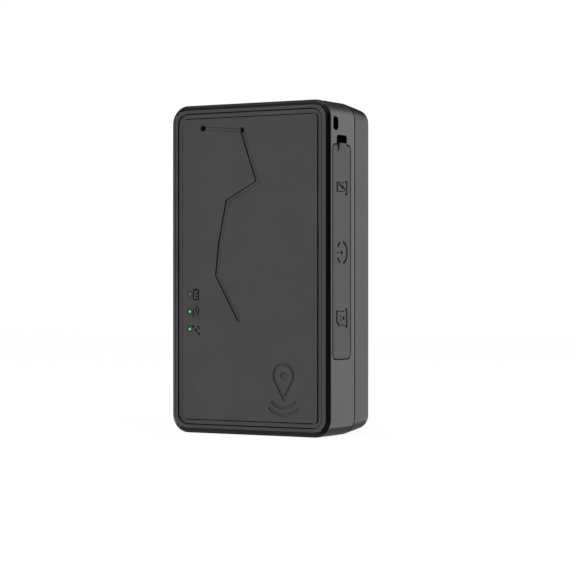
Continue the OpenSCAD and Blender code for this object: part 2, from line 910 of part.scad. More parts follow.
// Stepped light guide: its flange stops against the inside of the front wall
module lamp_lens(place) {
    guide_d = lamp_d - hole_gap;
    translate([lamp_x, lamp_h + place * lamp_pitch, 0]) {
        translate([0, 0, lamp_sink])
            cylinder(d = guide_d, h = board_front_d - led_t - led_play - lamp_sink);
        translate([0, 0, wall])
            cylinder(d = lamp_flange_d, h = lamp_flange_t);
    }
}

module power_led_lens() {
    color("#40605c") upright() lamp_lens(1);
}

module network_led_lens() {
    color("#50e060") upright() lamp_lens(0);
}

module gps_led_lens() {
    color("#50e060") upright() lamp_lens(-1);
}

module microphone() {
    color("#c8b070") upright()
        translate([stars[0][0] - mic_w / 2, stars[0][1] - mic_h / 2, board_front_d - mic_t])
            cube([mic_w, mic_h, mic_t]);
}

module microphone_boot() {
    color("#1c1c1e") upright()
        translate([stars[0][0], stars[0][1], wall])
            difference() {
                cylinder(d = boot_d, h = board_front_d - mic_t - wall);
                translate([0, 0, -overrun])
                    cylinder(d = sound_hole_d, h = case_d);
            }
}

module vent_membrane() {
    color("#e8e8e8") upright()
        translate([stars[1][0], stars[1][1], wall])
            cylinder(d = membrane_d, h = membrane_t);
}

module cell(front) {
    translate([0, case_h / 2, front])
        linear_extrude(cell_t)
            rounded_rect(cell_w, cell_h, cell_r);
}

module battery_cell_front() {
    color("#a8abb0") upright() cell(battery_front_d);
}

module battery_cell_rear() {
    color("#a8abb0") upright() cell(battery_front_d + cell_t + cell_bond);
}

module battery_protection_board() {
    guard_d = battery_back_d - battery_front_d - 2 * guard_margin;
    color("#1f4d38") upright()
        translate([-guard_w / 2, cell_high_h, battery_front_d + guard_margin]) {
            cube([guard_w, guard_t, guard_d]);
            for (i = [0:guard_chips - 1])
                translate([guard_w / 2 + i * (guard_chip_w + guard_margin), guard_t, guard_margin])
                    cube([guard_chip_w, guard_chip_t, guard_d / 2]);
        }
}

module battery_connector() {
    color("#ece6d2") upright()
        translate([connector_x - connector_w / 2, connector_axis_h - connector_h / 2, board_back_d])
            cube([connector_w, connector_h, connector_t]);
}

// Rises from the protection board, bends and runs forward into the connector
module battery_wire(side) {
    wire_x = connector_x + side * wire_pitch / 2;
    wire_rise_d = (battery_front_d + battery_back_d) / 2;
    translate([wire_x, guard_top_h, wire_rise_d])
        rotate([-90, 0, 0])
            cylinder(d = wire_d, h = connector_axis_h - guard_top_h - wire_bend_r);
    translate([wire_x, connector_axis_h - wire_bend_r, wire_rise_d - wire_bend_r])
        rotate([0, -90, 0])
            rotate_extrude(angle = 90)
                translate([wire_bend_r, 0])
                    circle(d = wire_d);
    translate([wire_x, connector_axis_h, board_back_d + connector_t])
        cylinder(d = wire_d, h = wire_rise_d - wire_bend_r - board_back_d - connector_t);
}

module battery_lead_positive() {
    color("#b03028") upright() battery_wire(-1);
}

module battery_lead_negative() {
    color("#202020") upright() battery_wire(1);
}

// Pads that hold the cells between the board and the magnet wells
module battery_foam() {
    color("#55565a") upright() {
        on_board(can_shares)
            translate([-can_w / 2, -can_h / 2, board_back_d + can_t])
                cube([can_w, can_h, battery_front_d - board_back_d - can_t]);
        on_board(modem_shares)
            translate([-modem_w / 2, -modem_h / 2, board_back_d + modem_t])
                cube([modem_w, modem_h, battery_front_d - board_back_d - modem_t]);
        magnet_places()
            translate([0, 0, battery_back_d])
                cylinder(d = magnet_d, h = rear_foam_t);
    }
}

module magnets() {
    edge = 2 * magnet_sink;
    color("#c9cbce") upright()
        magnet_places()
            translate([0, 0, magnet_seat_d])
                rotate_extrude()
                    polygon([
                        [0, 0],
                        [magnet_d / 2 - edge, 0],
                        [magnet_d / 2, edge],
                        [magnet_d / 2, magnet_t - edge],
                        [magnet_d / 2 - edge, magnet_t],
                        [0, magnet_t],
                    ]);
}

module board_screws() {
    color("#b9bbbe") upright()
        at_corners(wall + post_inset_x, board_end + post_inset_h) {
            translate([0, 0, board_back_d])
                cylinder(d = board_screw_head_d, h = board_screw_head_t);
            translate([0, 0, board_front_d - post_pilot_depth + hole_gap])
                cylinder(d = board_screw_d, h = post_pilot_depth + board_t);
        }
}

module case_screws() {
    color("#2a2a2c") upright()
        at_corners(screw_inset, screw_inset) {
            translate([0, 0, front_d + screw_seat])
                cylinder(d = screw_head_d, h = screw_head_h);
            translate([0, 0, front_d + screw_seat - screw_len])
                cylinder(d = screw_d, h = screw_len + screw_head_h / 2);
        }
}

front_shell();
rear_shell();
perimeter_gasket();
port_flap();
flap_anchor();
power_button();
power_switch_plunger();
power_switch();
usb_connector();
usb_tongue();
sim_socket_cover();
sim_socket_base();
main_board();
modem_module();
shield_can();
gnss_patch_antenna();
gnss_patch_electrode();
lte_antenna();
board_chips();
status_leds();
power_led_lens();
network_led_lens();
gps_led_lens();
microphone();
microphone_boot();
vent_membrane();
battery_cell_front();
battery_cell_rear();
battery_protection_board();
battery_connector();
battery_lead_positive();
battery_lead_negative();
battery_foam();
magnets();
board_screws();
case_screws();
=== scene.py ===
# GPS tracker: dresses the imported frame, lights it and sets the camera
import bpy
import bmesh
import math
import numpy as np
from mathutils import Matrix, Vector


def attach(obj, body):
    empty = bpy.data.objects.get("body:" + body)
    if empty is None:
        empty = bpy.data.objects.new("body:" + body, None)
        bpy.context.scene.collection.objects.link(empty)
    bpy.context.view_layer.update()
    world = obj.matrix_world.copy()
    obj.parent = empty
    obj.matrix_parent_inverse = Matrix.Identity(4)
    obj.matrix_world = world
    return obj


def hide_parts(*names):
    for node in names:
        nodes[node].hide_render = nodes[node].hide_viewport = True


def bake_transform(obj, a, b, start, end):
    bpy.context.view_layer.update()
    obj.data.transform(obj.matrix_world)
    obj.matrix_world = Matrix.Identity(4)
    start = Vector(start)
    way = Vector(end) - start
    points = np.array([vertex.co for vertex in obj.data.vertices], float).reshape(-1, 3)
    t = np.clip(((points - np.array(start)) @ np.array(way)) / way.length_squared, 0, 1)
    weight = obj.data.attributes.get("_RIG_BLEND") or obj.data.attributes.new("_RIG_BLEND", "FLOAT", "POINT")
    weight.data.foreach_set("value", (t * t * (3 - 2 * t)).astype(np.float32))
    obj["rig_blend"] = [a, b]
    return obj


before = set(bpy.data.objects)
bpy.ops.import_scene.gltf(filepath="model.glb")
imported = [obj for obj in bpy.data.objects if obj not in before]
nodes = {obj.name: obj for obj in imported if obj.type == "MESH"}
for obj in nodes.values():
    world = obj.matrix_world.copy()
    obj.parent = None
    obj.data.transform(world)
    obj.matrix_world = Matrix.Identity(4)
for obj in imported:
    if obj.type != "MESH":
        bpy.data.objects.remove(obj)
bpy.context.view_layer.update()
mm = 0.001

print("camera")
shot = {
    "place": (0.33906, -0.57650, 0.04779),
    "turn": (90, 0, 30),
    "lens": 126.3,
    "sensor": 36,
}


def degrees(*angles):
    return [math.radians(angle) for angle in angles]


bpy.ops.object.camera_add(location=shot["place"], rotation=degrees(*shot["turn"]))
camera = bpy.context.object
camera.name = "camera"
camera.data.lens = shot["lens"]
camera.data.sensor_width = shot["sensor"]
camera.data.clip_start = 0.01
bpy.context.scene.camera = camera


class Wire:
    # One output socket; arithmetic on it adds Math nodes
    def __init__(self, finish, socket):
        self.finish = finish
        self.socket = socket

    def math(self, operation, first, second=0.0, clamp=False):
        return self.finish.node(
            "ShaderNodeMath", {"operation": operation, "use_clamp": clamp}, {0: first, 1: second}
        )

    def __add__(self, other):
        return self.math("ADD", self, other)

    def __radd__(self, other):
        return self.math("ADD", other, self)

    def __sub__(self, other):
        return self.math("SUBTRACT", self, other)

    def __rsub__(self, other):
        return self.math("SUBTRACT", other, self)

    def __mul__(self, other):
        return self.math("MULTIPLY", self, other)

    def __rmul__(self, other):
        return self.math("MULTIPLY", other, self)

    def __truediv__(self, other):
        return self.math("DIVIDE", self, other)

    def __pow__(self, other):
        return self.math("POWER", self, other)

    def highest(self, other):
        return self.math("MAXIMUM", self, other)

    def clamped(self):
        return self.math("ADD", self, 0.0, clamp=True)

    def rampUp(self, start, end):  # 0 before start, 1 after end
        return self.finish.node(
            "ShaderNodeMapRange",
            {"interpolation_type": "SMOOTHSTEP"},
            {"Value": self, "From Min": start, "From Max": end},
        )


class Finish:
    # A node tree of one material or of the world
    def __init__(self, name, owner=None):
        self.owner = owner or bpy.data.materials.new(name)
        self.owner.use_nodes = True
        self.tree = self.owner.node_tree
        self.tree.nodes.clear()
        self.place = None

    # Any node: its settings come first, then the values or links of its sockets
    def node(self, kind, settings=None, values=None, output=0):
        made = self.tree.nodes.new(kind)
        for name, setting in (settings or {}).items():
            if name == "stops":
                ramp = made.color_ramp
                while len(ramp.elements) < len(setting):
                    ramp.elements.new(0.5)
                for element, (position, colour) in zip(ramp.elements, setting):
                    element.position = position
                    element.color = (*colour, 1.0)
            else:
                setattr(made, name, setting)
        for name, value in (values or {}).items():
            socket = made.inputs[name]
            if isinstance(value, Wire):
                self.tree.links.new(value.socket, socket)
            elif isinstance(value, tuple) and len(value) == 3 and socket.type == "RGBA":
                socket.default_value = (*value, 1.0)
            else:
                socket.default_value = value
        return Wire(self, made.outputs[output])

    def here(self):  # Object coordinates, read once
        if self.place is None:
            self.place = self.node("ShaderNodeTexCoord", output="Object")
        return self.place

    def along(self, letter):
        axis = "XYZ".index(letter)
        return self.node("ShaderNodeSeparateXYZ", None, {0: self.here()}, output=axis)

    def ray(self, kind):
        return self.node("ShaderNodeLightPath", output="Is " + kind + " Ray")

    # Fine pattern whose blotches are about this many millimetres across
    def speckle(self, size, detail=2.0, stretch=(1, 1, 1)):
        vector = self.node("ShaderNodeMapping", None, {"Vector": self.here(), "Scale": stretch})
        values = {"Vector": vector, "Scale": 1.0 / (size * mm), "Detail": detail}
        return self.node("ShaderNodeTexNoise", None, values)

    def blend(self, mask, first, second):
        return self.node(
            "ShaderNodeMix",
            {"data_type": "RGBA"},
            {"Factor": mask, 6: first, 7: second},
            output=2,
        )

    def bump(self, height, depth, normal=None):  # depth in millimetres
        values = {"Height": height, "Distance": depth * mm}
        if normal:
            values["Normal"] = normal
        return self.node("ShaderNodeBump", None, values)

    def end(self, last, kind="ShaderNodeOutputMaterial"):  # joins the last node to the output
        self.tree.links.new(last.socket, self.tree.nodes.new(kind).inputs[0])
        return self.owner

    def surface(self, values):
        return self.end(self.node("ShaderNodeBsdfPrincipled", None, values))


def shade(colour, factor):
    return tuple(channel * factor for channel in colour)


print("finishes")
# The black plastics of the shells, with darker and lighter copies of them painted as shade and light on
# chamfers, roundings, grooves and gaps; grain and depth are the texture's size and height in mm
casing = {
    "panel": {"name": "frontPanelGrain", "colour": (0.029, 0.029, 0.0295), "roughness": 0.55,
              "grain": 0.5, "depth": 0.11, "gloss": 0.5},
    # rim: the rim's own satin tone; on the outer rounding where it turns left it is painted light
    "rim": {"name": "rimSatinAndPaintedLight", "colour": (0.038, 0.038, 0.0385), "roughness": 0.45,
            "grain": 0.2, "depth": 0.008, "gloss": 0.5},
    "side": {"name": "sideSatin", "colour": (0.021, 0.021, 0.0215), "roughness": 0.32,
             "grain": 0.2, "depth": 0.008, "gloss": 0.72},
    # edge: painted shade, near black, on chamfers, roundings and groove walls turned away from the light
    "edge": {"name": "edgeShadePainted", "colour": (0.0016, 0.0016, 0.0016), "roughness": 0.25,
             "grain": 0.3, "depth": 0.002, "gloss": 0.05},
    "rear": {"name": "rearSatin", "colour": (0.012, 0.012, 0.0125), "roughness": 0.32,
             "grain": 0.2, "depth": 0.008, "gloss": 0.40},
    # gap: painted shade, near black, in the seam, the lanyard passage and the notch
    "gap": {"name": "gapShadePainted", "colour": (0.0016, 0.0016, 0.0016), "roughness": 0.7,
            "grain": 0.3, "depth": 0.004, "gloss": 0.02},
    # Painted shade: darker plastic in engraved symbols, on the rim's outer rounding, the bottom chamfer, the
    # underside and the walls round the flap
    "paintedShade": {"name": "shadePaintedMatt", "colour": (0.009, 0.009, 0.009), "roughness": 0.6,
             "grain": 0.3, "depth": 0.004, "gloss": 0.15},
    # slope: painted shade, less dark, on the top chamfer, the rounding's inner part and where the sides roll
    # under
    "slope": {"name": "slopeShadePainted", "colour": (0.020, 0.020, 0.0205), "roughness": 0.5,
              "grain": 0.3, "depth": 0.004, "gloss": 0.15},
}


# Moulded shell: a coarse and a fine grain over large faint patches
def mouldedShell(name, colour, roughness, grain, depth, gloss):
    finish = Finish(name)
    coarse = finish.speckle(grain)
    fine = finish.speckle(grain * 0.35, 1.0)
    patchy = finish.speckle(9.0)
    tone = (coarse * 0.5 + patchy * 0.5).rampUp(0.3, 0.7)
    return finish.surface({
        "Base Color": finish.blend(tone, shade(colour, 0.86), shade(colour, 1.16)),
        "Roughness": roughness - 0.05 + 0.10 * patchy,
        "Specular IOR Level": gloss,
        "Normal": finish.bump(coarse * 0.7 + fine * 0.3, depth),
    })


# Soft flap: matte, with a slight bloom on its faces
def softRubber(name, colour, roughness):
    finish = Finish(name)
    fine = finish.speckle(0.22)
    bloom = finish.speckle(5.0, 3.0)
    return finish.surface({
        "Base Color": finish.blend(bloom, shade(colour, 0.8), shade(colour, 1.25)),
        "Roughness": roughness + 0.10 * fine,
        "Sheen Weight": 0.04,
        "Normal": finish.bump(fine, 0.012),
    })


# Smooth moulded plastic with flow marks
def smoothPlastic(name, colour, roughness=0.35):
    finish = Finish(name)
    flow = finish.speckle(2.2, 2.0, (1, 1, 0.25))
    fine = finish.speckle(0.15)
    return finish.surface({
        "Base Color": finish.blend(flow, shade(colour, 0.85), shade(colour, 1.15)),
        "Roughness": roughness + 0.12 * (flow - 0.5),
        "Normal": finish.bump(fine, 0.006),
    })


# Sheet metal: rolled along one way, with handling marks
def sheetMetal(name, colour, roughness=0.3, stretch=(1, 1, 0.04), grain=0.12):
    finish = Finish(name)
    rolled = finish.speckle(grain, 2.0, stretch)
    marks = finish.speckle(3.0, 4.0)
    return finish.surface({
        "Base Color": finish.blend(marks, shade(colour, 0.82), shade(colour, 1.1)),
        "Metallic": 1.0,
        "Roughness": roughness + 0.18 * (rolled - 0.5) + 0.14 * (marks - 0.5),
        "Normal": finish.bump(rolled, 0.003),
    })


# Unglazed ceramic with a fine tooth
def ceramicBody(name, colour):
    finish = Finish(name)
    tooth = finish.speckle(0.12, 3.0)
    cloud = finish.speckle(4.0)
    tone = cloud * 0.6 + tooth * 0.4
    return finish.surface({
        "Base Color": finish.blend(tone, shade(colour, 0.85), shade(colour, 1.08)),
        "Roughness": 0.62 + 0.15 * tooth,
        "Normal": finish.bump(tooth, 0.01),
    })


# Solder mask over copper tracks
def solderMask(name, colour):
    finish = Finish(name)
    tracks = finish.node(
        "ShaderNodeTexBrick",
        {"offset": 0.5},
        {
            "Vector": finish.node(
                "ShaderNodeMapping", None, {"Vector": finish.here(), "Rotation": degrees(90, 0, 0)}
            ),
            "Scale": 400.0,
            "Mortar Size": 0.05,
            "Brick Width": 2.4,
            "Row Height": 0.7,
        },
        output="Fac",
    )
    weave = finish.speckle(0.5, 1.0, (1, 1, 0.5))
    return finish.surface({
        "Base Color": finish.blend(tracks * 0.6 + weave * 0.2, colour, shade(colour, 1.9)),
        "Roughness": 0.28 + 0.12 * weave,
        "Normal": finish.bump(tracks, 0.02),
    })


# Laminated pouch foil: satin, slightly dented
def pouchFoil(name, colour):
    finish = Finish(name)
    dents = finish.speckle(7.0)
    satin = finish.speckle(0.2, 1.0, (1, 1, 0.1))
    return finish.surface({
        "Base Color": finish.blend(dents, shade(colour, 0.9), shade(colour, 1.08)),
        "Metallic": 0.85,
        "Roughness": 0.36 + 0.1 * satin,
        "Normal": finish.bump(dents, 0.15, normal=finish.bump(satin, 0.004)),
    })


# Open-cell foam: darker in the pits that its bump carves, as painted shade
def openFoam(name, colour):
    finish = Finish(name)
    cells = finish.node(
        "ShaderNodeTexVoronoi", None, {"Vector": finish.here(), "Scale": 1600.0}, output="Distance"
    )
    return finish.surface({
        "Base Color": finish.blend(cells.clamped(), shade(colour, 0.5), shade(colour, 1.4)),
        "Roughness": 0.9 + 0.05 * cells,
        "Normal": finish.bump(cells, 0.15),
    })


lamps = {
    "across": -22.6,
    "heights": (45.75, 40.0, 34.25),
    "radius": 1.05,
    "dome": 0.4,
    "flat": 0.12,
}


# Indicator lens: brightest in the middle, falling off to its edge; on the unlit lamp this glow is painted
# light
def lampLens(name, height, stops, base):
    finish = Finish(name)
    across = finish.along("X") / mm - lamps["across"]
    up = finish.along("Z") / mm - height
    reach = (across * across + up * up) ** 0.5 / lamps["radius"]
    frost = finish.speckle(0.2, 1.0)
    ragged = reach + 0.08 * frost - 0.04
    colour = finish.node("ShaderNodeValToRGB", {"stops": stops}, {"Fac": ragged})
    return finish.surface({
        "Base Color": finish.blend(frost, shade(base, 0.9), shade(base, 1.1)),
        "Roughness": 0.3 + 0.15 * frost,
        "Specular IOR Level": 0.2,
        "Emission Color": colour,
        "Emission Strength": 1.0,
        "Normal": finish.bump(frost, 0.006),
    })


finishes = {key: mouldedShell(**look) for key, look in casing.items()}
finishes.update({
    "flap": softRubber("flapRubber", (0.037, 0.037, 0.038), 0.5),
    # Painted shade: the flap's rubber darkened in its engraved symbols and tab slot
    "flapShade": softRubber("flapRubberShadePainted", (0.006, 0.006, 0.006), 0.6),
    "button": smoothPlastic("buttonPlastic", (0.05, 0.05, 0.052)),
    "blackNylon": smoothPlastic("blackNylon", (0.015, 0.015, 0.016)),
    "steel": sheetMetal("stampedSteel", (0.55, 0.55, 0.56)),
    "shield": sheetMetal("platedShield", (0.66, 0.66, 0.67), 0.34, (0.05, 1, 1)),
    "mask": solderMask("solderMask", (0.010, 0.070, 0.032)),
    "ceramic": ceramicBody("patchCeramic", (0.60, 0.53, 0.40)),
    "antenna": ceramicBody("antennaCeramic", (0.74, 0.72, 0.65)),
    "silver": sheetMetal("printedSilver", (0.78, 0.77, 0.74), 0.42, (1, 1, 1)),
    "chips": smoothPlastic("chipEpoxy", (0.018, 0.018, 0.019), 0.5),
    "ledBody": smoothPlastic("ledEpoxy", (0.80, 0.79, 0.66), 0.2),
    "gold": sheetMetal("goldPlate", (0.83, 0.62, 0.26), 0.28, (1, 1, 1)),
    "seal": softRubber("sealSilicone", (0.30, 0.12, 0.06), 0.4),
    "sealBlack": softRubber("bootSilicone", (0.018, 0.018, 0.018), 0.45),
    # The vent film is coloured near black so that the sound holes read dark: painted shade
    "membrane": ceramicBody("ventFilm", (0.03, 0.03, 0.031)),
    "foil": pouchFoil("pouchFoil", (0.60, 0.61, 0.63)),
    "nylon": smoothPlastic("naturalNylon", (0.76, 0.71, 0.58), 0.4),
    "wireRed": softRubber("redInsulation", (0.45, 0.02, 0.015), 0.35),
    "wireBlack": softRubber("blackInsulation", (0.02, 0.02, 0.02), 0.35),
    "foam": openFoam("foamPad", (0.09, 0.09, 0.095)),
    "nickel": sheetMetal("nickelPlate", (0.62, 0.61, 0.59), 0.2, (1, 1, 1), 0.3),
    "zinc": sheetMetal("zincScrew", (0.55, 0.55, 0.56), 0.3, (1, 1, 1)),
    "blackScrew": sheetMetal("blackOxide", (0.05, 0.05, 0.055), 0.35, (1, 1, 1)),
})

# Colours from the middle of a lamp to its edge; the unlit lamp's teal middle is a painted glow
lit = [(0.0, (0.36, 0.90, 0.46)), (0.20, (0.26, 0.78, 0.36)), (0.46, (0.006, 0.080, 0.018)),
       (1.0, (0.003, 0.050, 0.010))]
unlitPaintedGlow = [(0.0, (0.040, 0.110, 0.092)), (0.22, (0.020, 0.055, 0.046)), (0.5, (0.0, 0.0, 0.0))]
for name, height, stops, base in (
    ("lampTop", lamps["heights"][0], unlitPaintedGlow, (0.042, 0.044, 0.044)),
    ("lampMiddle", lamps["heights"][1], lit, (0.004, 0.02, 0.006)),
    ("lampBottom", lamps["heights"][2], lit, (0.004, 0.02, 0.006)),
):
    finishes[name] = lampLens(name, height, stops, base)

nodeFinish = {
    "perimeter_gasket": "seal",
    "power_button": "button",
    "power_switch_plunger": "blackNylon",
    "power_switch": "steel",
    "usb_connector": "steel",
    "usb_tongue": "blackNylon",
    "sim_socket_cover": "steel",
    "sim_socket_base": "blackNylon",
    "main_board": "mask",
    "modem_module": "shield",
    "shield_can": "shield",
    "gnss_patch_antenna": "ceramic",
    "gnss_patch_electrode": "silver",
    "lte_antenna": "antenna",
    "board_chips": "chips",
    "status_leds": "ledBody",
    "power_led_lens": "lampTop",
    "network_led_lens": "lampMiddle",
    "gps_led_lens": "lampBottom",
    "microphone": "gold",
    "microphone_boot": "sealBlack",
    "vent_membrane": "membrane",
    "battery_cell_front": "foil",
    "battery_cell_rear": "foil",
    "battery_protection_board": "mask",
    "battery_connector": "nylon",
    "battery_lead_positive": "wireRed",
    "battery_lead_negative": "wireBlack",
    "battery_foam": "foam",
    "magnets": "nickel",
    "board_screws": "zinc",
    "case_screws": "blackScrew",
}


def wear(piece, *names):  # gives a piece its finishes, the first on every face
    piece.data.materials.clear()
    for name in names:
        piece.data.materials.append(finishes[name])
    for face in piece.data.polygons:
        face.material_index = 0


for node, finish in nodeFinish.items():
    wear(nodes[node], finish)


# Modelling helpers; lengths, and the places that a test gets, are in millimetres
def objectMode():
    if bpy.context.mode != "OBJECT":
        bpy.ops.object.mode_set(mode="OBJECT")


def pick(*pieces):  # selects these only; the first is active
    objectMode()
    bpy.ops.object.select_all(action="DESELECT")
    for piece in pieces:
        piece.select_set(True)
    bpy.context.view_layer.objects.active = pieces[0]


def applyPlace(piece):
    pick(piece)
    bpy.ops.object.transform_apply(location=True, rotation=True, scale=True)


def copyOf(node, name):  # a node's mesh, merged, as a new piece
    piece = bpy.data.objects.new(name, nodes[node].data.copy())
    bpy.context.collection.objects.link(piece)
    pick(piece)
    bpy.ops.mesh.customdata_custom_splitnormals_clear()
    bpy.ops.object.mode_set(mode="EDIT")
    bpy.ops.mesh.select_all(action="SELECT")
    bpy.ops.mesh.remove_doubles(threshold=0.001 * mm)
    bpy.ops.mesh.dissolve_limited(angle_limit=math.radians(0.4))
    objectMode()
    return piece


def openEdit(piece, kind):  # edit mode for points, edges or faces, with none selected
    pick(piece)
    bpy.ops.object.mode_set(mode="EDIT")
    bpy.ops.mesh.select_mode(type=kind)
    bpy.ops.mesh.select_all(action="DESELECT")
    return bmesh.from_edit_mesh(piece.data)


def middleOf(edge):
    return (edge.verts[0].co + edge.verts[1].co) / 2 / mm


# Selects the edges whose middle, bend in degrees and own run pass the test
def chooseEdges(piece, wanted):
    shape = openEdit(piece, "EDGE")
    chosen = 0
    for edge in shape.edges:
        if len(edge.link_faces) != 2:
            continue
        if wanted(middleOf(edge), math.degrees(edge.calc_face_angle_signed(0.0)), edge):
            edge.select = True
            chosen += 1
    bmesh.update_edit_mesh(piece.data)
    return chosen


def chooseFaces(piece, wanted):
    shape = openEdit(piece, "FACE")
    for face in shape.faces:
        if wanted(face.calc_center_median() / mm, face.normal):
            face.select = True
    bmesh.update_edit_mesh(piece.data)


def movePoints(piece, wanted, shift):
    shape = openEdit(piece, "VERT")
    for point in shape.verts:
        if wanted(point.co / mm):
            point.select = True
    shape.select_flush_mode()
    bmesh.update_edit_mesh(piece.data)
    bpy.ops.transform.translate(value=[value * mm for value in shift])
    objectMode()


def roundEdges(piece, width, wanted, segments=2, clamp=True):
    count = chooseEdges(piece, wanted)
    if count:
        bpy.ops.mesh.bevel(
            offset=width * mm, segments=segments, profile=0.5, affect="EDGES", clamp_overlap=clamp
        )
    objectMode()
    return count


# Rounds the chosen edges by a width that varies: share gives each edge's part of it
def roundByShare(piece, width, wanted, share, segments):
    chooseEdges(piece, wanted)
    shape = bmesh.from_edit_mesh(piece.data)
    layers = shape.edges.layers.float
    weight = layers.get("bevel_weight_edge") or layers.new("bevel_weight_edge")
    for edge in shape.edges:
        edge[weight] = share(middleOf(edge)) if edge.select else 0.0
    bmesh.update_edit_mesh(piece.data)
    objectMode()
    change = piece.modifiers.new("round", "BEVEL")
    change.limit_method = "WEIGHT"
    change.width = width * mm
    change.segments = segments
    change.use_clamp_overlap = False
    bpy.ops.object.modifier_apply(modifier=change.name)


def paint(piece, finish, wanted):  # gives the chosen faces another of the piece's finishes
    chooseFaces(piece, wanted)
    piece.active_material_index = piece.data.materials.find(finishes[finish].name)
    bpy.ops.object.material_slot_assign()


def smooth(piece, angle=30):  # the big faces stay even, the small roundings carry the shading
    pick(piece)
    bpy.ops.object.shade_smooth_by_angle(angle=math.radians(angle))
    even = piece.modifiers.new("even", "WEIGHTED_NORMAL")
    even.keep_sharp = True
    bpy.ops.object.modifier_apply(modifier=even.name)


def combine(piece, cutter, operation="DIFFERENCE"):
    pick(piece)
    change = piece.modifiers.new("combine", "BOOLEAN")
    change.operation = operation
    change.solver = "EXACT"
    change.object = cutter
    bpy.ops.object.modifier_apply(modifier=change.name)
    bpy.data.objects.remove(cutter)


def joinAll(pieces, name):
    pick(*pieces)
    bpy.ops.object.join()
    pieces[0].name = name
    return pieces[0]


def dress(piece, body, material, *replaced):
    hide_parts(*replaced)
    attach(piece, body)


def block(low, high, name):  # a cube between two corners
    bpy.ops.mesh.primitive_cube_add(
        size=1,
        location=[(a + b) / 2 * mm for a, b in zip(low, high)],
        scale=[(b - a) * mm for a, b in zip(low, high)],
    )
    piece = bpy.context.object
    piece.name = name
    applyPlace(piece)
    return piece


def runsAcross(edge):  # an edge that runs along x
    run = edge.verts[1].co - edge.verts[0].co
    return abs(run.x) > 0.95 * run.length


# Engraving cutters are drawn flat, with u to the right and v up, then stood on a face
def bar(start, end, width, depth):
    across, up = end[0] - start[0], end[1] - start[1]
    length = math.hypot(across, up)
    bpy.ops.mesh.primitive_cube_add(
        size=1,
        location=((start[0] + end[0]) / 2 * mm, (start[1] + end[1]) / 2 * mm, 0),
        rotation=(0, 0, math.atan2(up, across)),
        scale=((length + width * 0.98) * mm, width * mm, 2 * depth * mm),
    )
    return bpy.context.object


def arc(centre, radius, start, end, width, depth):
    bpy.ops.mesh.primitive_plane_add(
        size=1, location=(radius * mm, 0, 0), rotation=degrees(90, 0, 0)
    )
    ring = bpy.context.object
    ring.scale = (width * mm, 2 * depth * mm, 1)
    applyPlace(ring)
    bpy.ops.object.mode_set(mode="EDIT")
    bpy.ops.mesh.select_all(action="SELECT")
    sweep = end - start
    steps = max(6, int(abs(sweep) / 9))
    bpy.ops.mesh.spin(steps=steps, angle=-math.radians(sweep), center=(0, 0, 0), axis=(0, 0, 1))
    bpy.ops.mesh.select_all(action="SELECT")
    bpy.ops.mesh.normals_make_consistent(inside=False)
    objectMode()
    ring.rotation_euler = (0, 0, math.radians(start))
    ring.location = (centre[0] * mm, centre[1] * mm, 0)
    return ring


def dot(centre, radius, depth):
    bpy.ops.mesh.primitive_cylinder_add(
        vertices=24,
        radius=radius * mm,
        depth=2 * depth * mm,
        location=(centre[0] * mm, centre[1] * mm, 0),
    )
    return bpy.context.object


def path(points, width, depth):
    return [bar(a, b, width, depth) for a, b in zip(points, points[1:])]


def standOn(marks, place, turn):
    for paintedShade in marks:
        applyPlace(paintedShade)
    cutter = marks[0]
    for paintedShade in marks[1:]:
        combine(cutter, paintedShade, "UNION")
    cutter.location = [value * mm for value in place]
    cutter.rotation_euler = degrees(*turn)
    applyPlace(cutter)
    return cutter


# Cross recess in the head of a screw whose axis runs along y
def crossRecess(screws, look, x, z, turn):
    half = look["recess"] / 2
    cross = [bar((-half, 0), (half, 0), look["slot"], look["sink"]),
             bar((0, -half), (0, half), look["slot"], look["sink"])]
    combine(screws, standOn(cross, (x, look["headFace"], z), (-90, 0, turn)))


# The case: x runs to the flap's side, y from the front to the back, z up
case = {
    "front": -15,
    "back": 15,
    "side": 30,
    "top": 108,
    "middle": 54,
    "straight": (24, 48),  # half width and half height up to the round corners
    "corner": 6,
    "chamferEnd": -13.75,
    "openings": (-12.8, 0),  # reach of the side's and the top's openings along y
    "recessTop": 97.2,
    "recessFloor": 28.3,
    "frontSeam": 2.1,
    "rearSeam": 2.55,
    "flapMiddle": -6.55,
}
frontFace = ((0, case["front"], 0), (90, 0, 0))
flapFace = ((case["side"], case["front"], 0), (90, 0, 90))


def near(value, target):
    return abs(value - target) < 0.01


def between(value, limits):
    return limits[0] < value < limits[1]


sloped, square, upright = (30, 60), 60, 70  # bends of edges in degrees


def inside(m, low, high):
    return all(a < value < b for a, value, b in zip(low, m, high))


def within(m, half):  # closer to the front's centre than a half width and half height
    return abs(m.x) < half[0] and abs(m.z - case["middle"]) < half[1]


# Distance from the case's outline, below zero inside it
def outline(m):
    across = abs(m.x) - case["straight"][0]
    up = abs(m.z - case["middle"]) - case["straight"][1]
    return math.hypot(max(across, 0), max(up, 0)) + min(max(across, up), 0) - case["corner"]


print("front housing")
frontHousing = {
    "grooves": -14.3,  # every point of the grooves lies in front of this
    "panel": (25.5, 49.5),
    "rimLoop": (-3.2, -2.6),  # the rim's inner edge, from the outline
    "rimRight": -0.3,
    "rimLeft": 0.1,
    "rimTop": -0.25,
    "rimBottom": 0.3,
    "outlineRound": 0.62,
    "outlineRest": 0.742,  # share of the rounding where it is least, and the way to the full one
    "outlineTurn": 4.7,
    "chamferRound": 0.14,
    "channelRound": 0.3,
    "fineRound": 0.2,
    "openingRound": 0.13,
    "recessRound": 0.7,
    "recessFar": 0.43,
    "recessTurn": (-12.4, -11.2),
    "seamRound": 0.3,
    "litWallRound": 0.08,
    "symbolWidth": 0.4,
    "symbolDepth": 0.3,
    "symbolX": -20.1,
    "symbolHeights": (45.75, 40.2, 33.9),
    "motifWidth": 1.0,
    "motifDepth": 0.35,
    "motifPlace": (13.4, 19.6),
}


